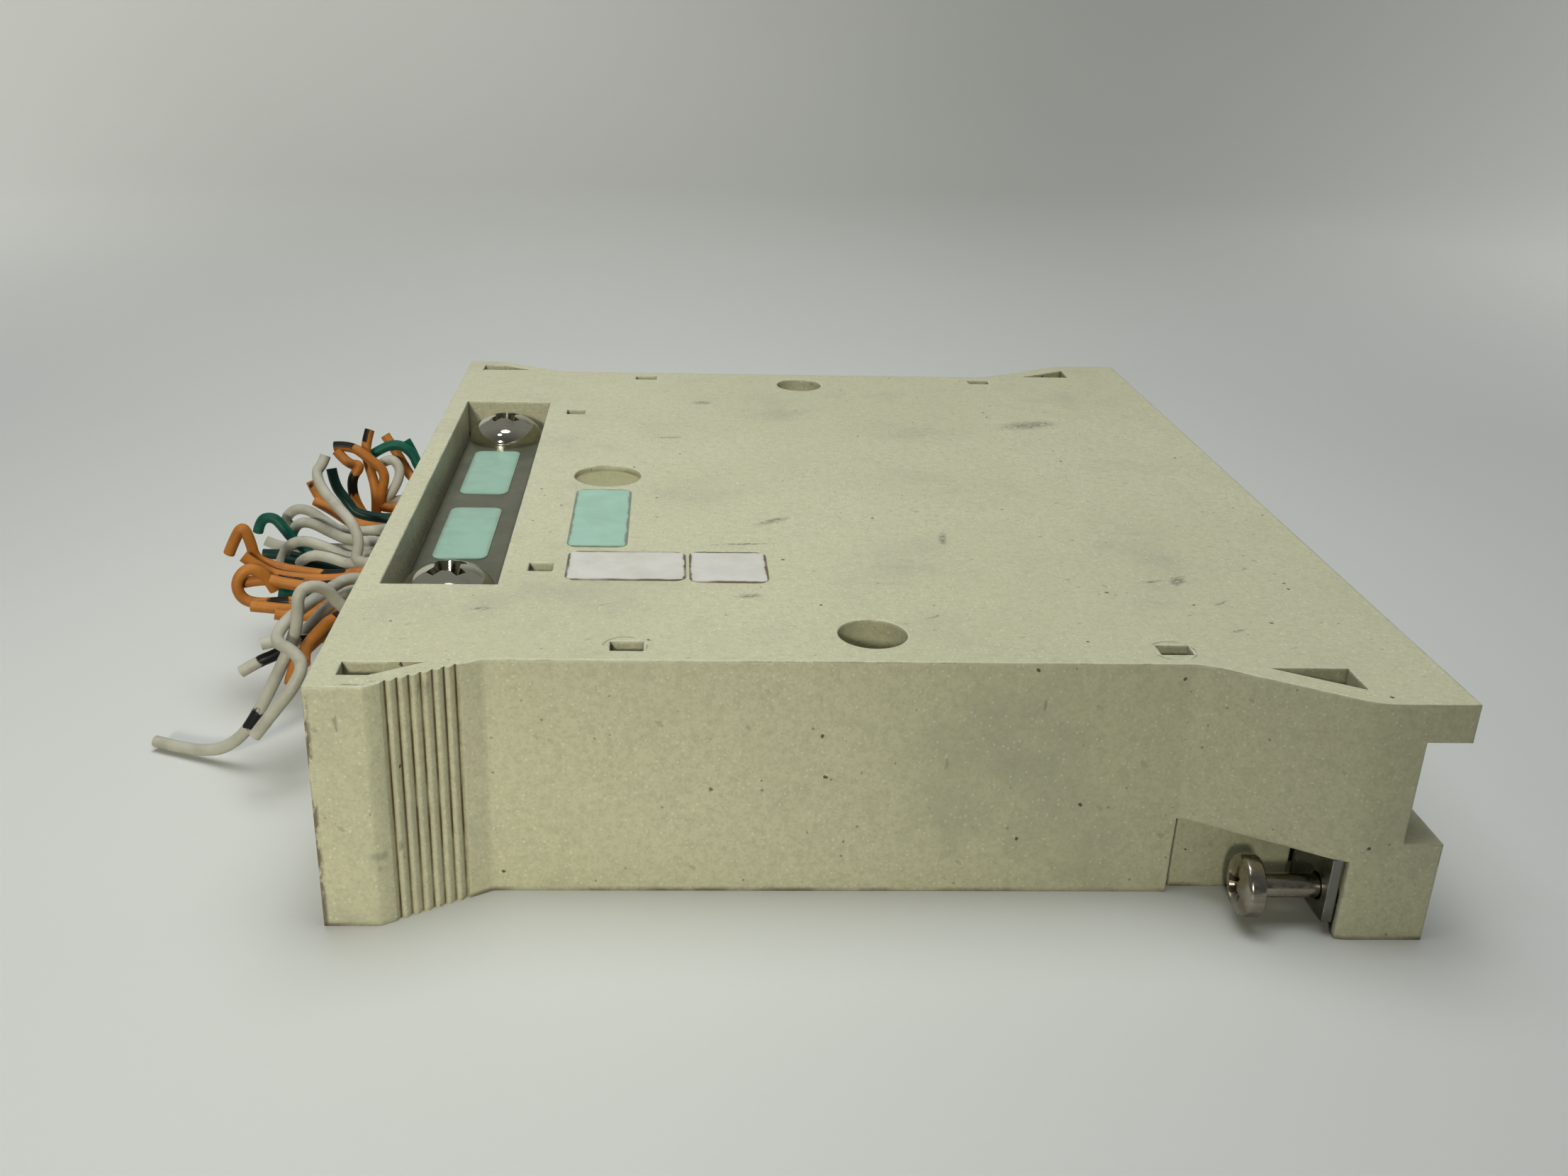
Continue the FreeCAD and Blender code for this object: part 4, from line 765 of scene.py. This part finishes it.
# Upright bends of the cover's sides: x, y, reach along x in millimetres, and the share of the bend that stays
SIDE_BENDS = ((-56.11, 70.7, 1.0, 0.3), (-44.3, 63.6, 1.3, 0.25), (35.15, 63.6, 2.0, 0.35))


def tighten_bends(work):
    """Draws the upright bends of the cover's sides in towards their corners."""
    for x, y, reach, share in SIDE_BENDS:
        for side in (-1, 1):
            bend = [vertex for vertex in work.verts
                    if abs(vertex.co.x - x * MM) < reach * MM and abs(vertex.co.y - side * y * MM) < 0.7 * MM]
            bmesh.ops.scale(work, verts=bend, vec=(share, share, 1),
                            space=Matrix.Translation((-x * MM, -side * y * MM, 0)))


def eased_cover(width):
    """Merged copy of the cover with its outer edges rounded off, and the bottoms of its grooves marked for
    dirt and painted shade.
    """
    work = bmesh.new()
    work.from_mesh(nodes["cover"].data)
    bmesh.ops.remove_doubles(work, verts=work.verts[:], dist=MERGE)
    tighten_bends(work)
    bmesh.ops.dissolve_limit(work, angle_limit=math.radians(1.0), verts=work.verts[:], edges=work.edges[:])
    outer = [edge for edge in work.edges if len(edge.link_faces) == 2 and not in_groove(edge)
             and edge.calc_face_angle_signed(0.0) > math.radians(28)]
    bmesh.ops.bevel(work, geom=outer, offset=width * MM, offset_type="OFFSET", affect="EDGES", segments=2,
                    profile=0.5, material=-1, clamp_overlap=True)
    bmesh.ops.dissolve_degenerate(work, dist=1e-6, edges=work.edges[:])
    # Marks the groove bottoms, where dirt and painted shade go
    grime_and_shade = work.loops.layers.float.new("grime_and_shade")
    bottoms = {vertex for edge in work.edges if in_groove(edge) and crisp(edge)
               and edge.calc_face_angle_signed(0.0) < 0 for vertex in edge.verts}
    for face in work.faces:
        if in_groove(face) and abs(face.normal.z) < 0.1:
            for corner in face.loops:
                corner[grime_and_shade] = float(corner.vert in bottoms)
    return work


def take_away(work, cutters):
    """Cuts the shapes out of the work."""
    mesh = bpy.data.meshes.new("blank")
    work.to_mesh(mesh)
    blank = linked("blank", mesh)
    tools = []
    for cutter in cutters:
        tool = linked("cutter", mesh_of(cutter, "cutter"))
        step = blank.modifiers.new("recess", "BOOLEAN")
        step.operation = "DIFFERENCE"
        step.solver = "EXACT"
        step.object = tool
        tools.append(tool)
    bpy.context.view_layer.update()
    result = bpy.data.meshes.new_from_object(blank.evaluated_get(bpy.context.evaluated_depsgraph_get()))
    for tool in [*tools, blank]:
        old = tool.data
        bpy.data.objects.remove(tool)
        bpy.data.meshes.remove(old)
    work.clear()
    work.from_mesh(result)
    bpy.data.meshes.remove(result)


def recess_arms(reach, width, depth, top):
    """Cutting shapes of a cross recess: two tapered blades and a pointed middle."""
    taper = 0.62
    blades = []
    for turn in (45, 135):
        blade = bmesh.new()
        bmesh.ops.create_cube(blade, size=1.0)
        for vertex in blade.verts:
            low = vertex.co.z < 0
            vertex.co.x *= 2 * reach * (taper if low else 1.06)
            vertex.co.y *= width * (taper if low else 1.05)
            vertex.co.z = -depth if low else 0.4 * depth
        bmesh.ops.rotate(blade, verts=blade.verts[:], matrix=Matrix.Rotation(math.radians(turn), 3, "Z"))
        blades.append(blade)
    point = bmesh.new()
    bmesh.ops.create_cone(point, cap_ends=True, segments=24, radius1=0.2 * reach, radius2=taper * reach,
                          depth=1.6 * depth)
    bmesh.ops.translate(point, verts=point.verts[:], vec=(0, 0, -0.45 * depth))
    blades.append(point)
    for blade in blades:
        bmesh.ops.scale(blade, verts=blade.verts[:], vec=(MM, MM, MM))
        bmesh.ops.translate(blade, verts=blade.verts[:], vec=(0, 0, top * MM))
    return blades


def add_rod(work, radius, low, high, segments=40, chamfer=0.0):
    """Round rod along Z, in millimetres, with its lower end chamfered if asked."""
    made = bmesh.ops.create_cone(work, cap_ends=True, segments=segments, radius1=radius * MM,
                                 radius2=radius * MM, depth=(high - low) * MM)
    bmesh.ops.translate(work, verts=made["verts"], vec=(0, 0, (low + high) / 2 * MM))
    if chamfer:
        foot = {vertex for vertex in made["verts"] if vertex.co.z < (low + 1e-3) * MM}
        rim = [edge for edge in work.edges if edge.verts[0] in foot and edge.verts[1] in foot]
        bmesh.ops.bevel(work, geom=rim, offset=chamfer * MM, offset_type="OFFSET", affect="EDGES", segments=1,
                        profile=0.5, material=-1)


def add_thread(work, crest, root, low, high, pitch):
    """Screw thread along Z: one tooth wound up in a helix and trimmed at both ends."""
    tooth = bmesh.new()
    corners = [tooth.verts.new((radius * MM, 0, level * MM)) for radius, level in
               ((root, low - pitch), (crest, low - 0.62 * pitch), (crest, low - 0.38 * pitch), (root, low))]
    edges = [tooth.edges.new(pair) for pair in zip(corners, corners[1:])]
    turns = math.ceil((high - low) / pitch) + 2
    steps = 28 * turns
    bmesh.ops.spin(tooth, geom=[*corners, *edges], cent=(0, 0, 0), axis=(0, 0, 1), angle=2 * math.pi * turns,
                   steps=steps, dvec=(0, 0, pitch * turns / steps * MM), use_duplicate=False)
    bmesh.ops.remove_doubles(tooth, verts=tooth.verts[:], dist=MERGE)
    for level, normal in ((low, (0, 0, -1)), (high, (0, 0, 1))):
        cut = bmesh.ops.bisect_plane(tooth, geom=tooth.verts[:] + tooth.edges[:] + tooth.faces[:], dist=1e-7,
                                     plane_co=(0, 0, level * MM), plane_no=normal, clear_outer=True)
        rim = [item for item in cut["geom_cut"] if isinstance(item, bmesh.types.BMEdge)]
        bmesh.ops.holes_fill(tooth, edges=rim, sides=0)
    bmesh.ops.recalc_face_normals(tooth, faces=tooth.faces[:])
    mesh = mesh_of(tooth, "tooth")
    work.from_mesh(mesh)
    bpy.data.meshes.remove(mesh)


def clamp_screw(name):
    """Large bright screw with a smooth dome, a cross recess and a threaded shank."""
    radius, height, tip = 6.0, 4.2, -17.5
    cut, skirt = 0.06, 0.16
    low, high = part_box(name)
    middle = (low + high) / 2
    head = bmesh.new()
    bmesh.ops.create_uvsphere(head, u_segments=72, v_segments=48, radius=1.0)
    bmesh.ops.bisect_plane(head, geom=head.verts[:] + head.edges[:] + head.faces[:], dist=1e-6,
                           plane_co=(0, 0, cut), plane_no=(0, 0, 1), clear_inner=True)
    rim = [edge for edge in head.edges if edge.is_boundary]
    drawn = bmesh.ops.extrude_edge_only(head, edges=rim)["geom"]
    bmesh.ops.translate(head, verts=[item for item in drawn if isinstance(item, bmesh.types.BMVert)],
                        vec=(0, 0, -skirt))
    bmesh.ops.holes_fill(head, edges=[edge for edge in head.edges if edge.is_boundary], sides=0)
    bmesh.ops.translate(head, verts=head.verts[:], vec=(0, 0, skirt - cut))
    bmesh.ops.scale(head, verts=head.verts[:],
                    vec=(radius * MM, radius * MM, height / (1.0 + skirt - cut) * MM))
    bmesh.ops.recalc_face_normals(head, faces=head.faces[:])
    take_away(head, recess_arms(3.3, 1.75, 2.3, height))
    add_rod(head, 2.6, tip, 0.1, chamfer=0.6)
    add_thread(head, 3.0, 2.5, tip + 0.6, -0.4, 1.0)
    bmesh.ops.translate(head, verts=head.verts[:], vec=(middle.x, middle.y, high.z - height * MM))
    finished_piece(f"{name}_dome", head, nickel, "clamp", name)


# Half outline of a captive screw's head: radius and level from its seat, in millimetres
HEAD_OUTLINE = ((0.0, 2.70), (1.2, 2.64), (2.1, 2.49), (2.8, 2.29), (3.2, 2.11), (3.42, 1.93),
                (3.55, 1.70), (3.6, 1.42), (3.6, 0.22), (3.53, 0.06), (3.38, 0.0), (0.0, 0.0))


def mounting_screw(name):
    """Captive screw: round-edged head with a rusty cross recess, bare neck and threaded end."""
    height, neck, tip = 2.7, -9.0, -18.2
    low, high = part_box(name)
    middle = (low + high) / 2
    head = bmesh.new()
    outline = [head.verts.new((radius * MM, 0, level * MM)) for radius, level in HEAD_OUTLINE]
    rim = [head.edges.new(pair) for pair in zip(outline, outline[1:])]
    bmesh.ops.spin(head, geom=[*outline, *rim], cent=(0, 0, 0), axis=(0, 0, 1), angle=2 * math.pi, steps=64,
                   use_merge=True)
    bmesh.ops.remove_doubles(head, verts=head.verts[:], dist=MERGE)
    bmesh.ops.recalc_face_normals(head, faces=head.faces[:])
    take_away(head, recess_arms(2.15, 1.15, 1.5, height))
    add_rod(head, 1.4, neck - 0.4, 0.1, segments=36)
    add_rod(head, 1.7, tip, neck, chamfer=0.5, segments=36)
    add_thread(head, 2.0, 1.6, tip + 0.6, neck - 0.1, 0.7)
    for turn, axis in ((22, "Z"), (-90, "Y")):
        bmesh.ops.rotate(head, verts=head.verts[:], matrix=Matrix.Rotation(math.radians(turn), 3, axis))
    bmesh.ops.translate(head, verts=head.verts[:], vec=(low.x + height * MM, middle.y, middle.z))
    finished_piece(f"{name}_turned", head, steel, name, name)


# Floor, backdrop and light

PALE_ROOM = (0.450, 0.457, 0.433, 1.0)
LIT_SECTOR_TIP = (-0.024, -0.211)
FLOOR_HALF, BEND_START, BEND_RADIUS = 3.0, 0.55, 0.35


def far_glow(f):
    """Keeps the floor pale to the eye and in metal outside the sector that the lamps light."""
    place = f.parts(f.place)
    aside = f.math("SUBTRACT", place["X"], LIT_SECTOR_TIP[0])
    ahead = f.math("SUBTRACT", place["Y"], LIT_SECTOR_TIP[1])
    turned = f.math("ABSOLUTE", f.math("ARCTAN2", aside, ahead))
    reach = f.add("ShaderNodeVectorMath", operation="LENGTH")
    f.join(f.place, reach.inputs[0])
    path = f.add("ShaderNodeLightPath")
    seen = f.math("MAXIMUM", path.outputs["Is Camera Ray"], path.outputs["Is Glossy Ray"])
    beside = f.span(turned, math.radians(10), math.radians(52))
    return f.times(beside, f.span(reach.outputs["Value"], 0.15, 0.55), seen)


def make_sweep():
    """Pale floor that curves up into a backdrop behind the block."""
    work = bmesh.new()
    first = work.verts.new((-FLOOR_HALF, -FLOOR_HALF, 0.0))
    second = work.verts.new((-FLOOR_HALF, BEND_START, 0.0))
    work.edges.new((first, second))
    bmesh.ops.spin(work, geom=[second], cent=(-FLOOR_HALF, BEND_START, BEND_RADIUS), axis=(1, 0, 0),
                   angle=math.radians(82), steps=24, use_duplicate=False)
    top = max(work.verts, key=lambda vertex: vertex.co.z)
    crown = work.verts.new(top.co + Vector((0.0, 0.04, 0.3)))
    work.edges.new((top, crown))
    found = bmesh.ops.extrude_edge_only(work, edges=work.edges[:])
    moved = [item for item in found["geom"] if isinstance(item, bmesh.types.BMVert)]
    bmesh.ops.translate(work, verts=moved, vec=(2 * FLOOR_HALF, 0.0, 0.0))
    bmesh.ops.recalc_face_normals(work, faces=work.faces[:])
    for face in work.faces:
        face.smooth = True
    sweep = linked("sweep", mesh_of(work, "sweep"))
    f = Finish("pale_floor")
    colour = f.blend(f.span(f.noise(6.0, 2.0), 0.3, 0.7), (0.552, 0.560, 0.526), (0.540, 0.548, 0.514))
    f.set(Base_Color=colour, Roughness=0.55, Emission_Color=PALE_ROOM, Emission_Strength=far_glow(f))
    dress(sweep, f.material)


def add_lamp(name, kind, place, aim, power, colour, mirrored=True, **settings):
    """Lamp that points from its place to its aim, and shows in metal unless mirrored is off."""
    lamp = bpy.data.lights.new(name, kind)
    lamp.energy = power
    lamp.color = colour
    for key, value in settings.items():
        setattr(lamp, key, value)
    holder = linked(name, lamp)
    holder.location = place
    holder.rotation_mode = "QUATERNION"
    holder.rotation_quaternion = (Vector(aim) - Vector(place)).to_track_quat("-Z", "Y")
    holder.visible_glossy = mirrored


def make_room():
    """Soft light of a room that is dimmer behind the camera, and looks plain and pale where it is seen."""
    world = bpy.data.worlds.new("room")
    world.use_nodes = True
    tree = world.node_tree
    add, link = tree.nodes.new, tree.links.new
    ground = tree.nodes["Background"]
    bounce = add("ShaderNodeMapRange")
    bounce.inputs["To Min"].default_value = 0.04
    bounce.inputs["To Max"].default_value = 0.26
    path = add("ShaderNodeLightPath")
    link(path.outputs["Is Glossy Ray"], bounce.inputs["Value"])
    link(bounce.outputs["Result"], ground.inputs["Strength"])
    side = add("ShaderNodeSeparateXYZ")
    link(add("ShaderNodeTexCoord").outputs["Generated"], side.inputs["Vector"])
    ramp = add("ShaderNodeValToRGB")
    for element, (spot, colour) in zip(ramp.color_ramp.elements, (
            (0.05, (0.30, 0.31, 0.29, 1.0)), (0.60, (0.93, 0.95, 0.90, 1.0)))):
        element.position = spot
        element.color = colour
    shift = add("ShaderNodeMapRange")
    shift.inputs["From Min"].default_value = -1.0
    link(side.outputs["Y"], shift.inputs["Value"])
    link(shift.outputs["Result"], ramp.inputs["Fac"])
    link(ramp.outputs["Color"], ground.inputs["Color"])
    pale = add("ShaderNodeBackground")
    pale.inputs["Color"].default_value = PALE_ROOM
    shown = add("ShaderNodeMixShader")
    link(path.outputs["Is Camera Ray"], shown.inputs["Fac"])
    link(ground.outputs["Background"], shown.inputs[1])
    link(pale.outputs["Background"], shown.inputs[2])
    link(shown.outputs["Shader"], tree.nodes["World Output"].inputs["Surface"])
    bpy.context.scene.world = world


def light_up():
    """Two wide lamps overhead, a key lamp from the left, one for the backdrop and two small bright ones."""
    cool = (0.945, 0.975, 1.0)
    warm = (1.0, 0.98, 0.84)
    plain = (1.0, 0.99, 0.95)
    add_lamp("roof_lamp", "AREA", (0.06, 0.04, 0.62), (0, 0, 0), 2.0, cool, False,
             shape="RECTANGLE", size=0.5, size_y=0.3)
    add_lamp("low_roof_lamp", "AREA", (-0.10, 0.0, 0.46), (-0.04, 0, 0), 0.68, cool, False,
             shape="RECTANGLE", size=0.4, size_y=0.3)
    add_lamp("key_lamp", "SPOT", (-0.315, -1.16, 0.44), (-0.078, -0.08, 0.0), 39.0, warm,
             spot_size=math.radians(13.6), spot_blend=0.75, shadow_soft_size=0.08)
    add_lamp("back_lamp", "AREA", (-0.45, 0.25, 0.75), (-0.20, 1.0, 0.25), 2.5, plain,
             shape="SQUARE", size=0.4, spread=math.radians(120))
    add_lamp("small_lamp", "AREA", (-0.05, -0.03, 0.40), (-0.05, 0.0, 0.03), 0.20, cool,
             shape="ELLIPSE", size=0.13, size_y=0.09)
    add_lamp("side_lamp", "AREA", (-0.13, -0.12, 0.34), (-0.05, 0.0, 0.03), 0.06, cool,
             shape="DISK", size=0.06)


# The scene

place_camera()
make_sweep()
make_room()
light_up()
bpy.context.scene.view_settings.view_transform = "Standard"

ivory = ivory_plastic()
grey_paint = bar_paint()
nickel = bright_nickel()
steel = worn_steel()
zinc = zinc_plate("zinc_plate", (0.52, 0.52, 0.49), (0.37, 0.37, 0.35))
dark_zinc = zinc_plate("dark_zinc_plate", (0.215, 0.215, 0.190), (0.130, 0.132, 0.118))
brass = turned_brass()
copper = cut_copper()
strip_plastic = moulded_plastic("strip_plastic", (0.075, 0.250, 0.150), (0.055, 0.190, 0.115), 0.45)
connector_plastic = moulded_plastic("connector_plastic", (0.440, 0.420, 0.370), (0.360, 0.340, 0.290), 0.48)
board = board_mask()
insulations = {colour: insulation(f"{colour}_vinyl", *look[1:]) for colour, look in INSULATION.items()}

count = 0
for node, strands in WIRES.items():
    for letter, (colour, *route) in zip("abcdefgh", strands):
        count += 1
        make_wire(f"{node}_{letter}", node, count, colour, whole_route(*route))

finished_piece("cover_moulding", eased_cover(0.26), ivory, "cover", "cover")
for name in ("clamp_screw_near", "clamp_screw_far"):
    clamp_screw(name)
for name in ("mounting_screw_near", "mounting_screw_far"):
    mounting_screw(name)

MINT = ((0.292, 0.480, 0.378), (0.245, 0.385, 0.295))
SHADED_MINT = ((0.245, 0.405, 0.315), (0.205, 0.320, 0.245))
WHITE = ((0.560, 0.550, 0.495), (0.450, 0.430, 0.355))
STICKERS = (
    ("bar_sticker_far", SHADED_MINT, 0.25), ("bar_sticker_near", SHADED_MINT, 0.25),
    ("cover_sticker_mint", MINT, 0.65), ("cover_sticker_wide", WHITE, 0.95),
    ("cover_sticker_square", WHITE, 0.95),
)
for name, (light, soiled), grubby in STICKERS:
    dress(nodes[name], sticker_paper(name, light, soiled, grubby))

FINISH_OF = {
    "tray": ivory, "circuit_board": board, "terminal_strip": strip_plastic, "clamp_plates": zinc,
    "terminal_screws": zinc, "rear_connector": connector_plastic, "strain_relief_bar": grey_paint,
    "clamp_inserts": brass, "screw_bracket_near": dark_zinc, "screw_bracket_far": dark_zinc,
    "board_screws": zinc, "bracket_screws": zinc, "connector_screws": zinc,
}
for name, finish in FINISH_OF.items():
    dress(nodes[name], finish)
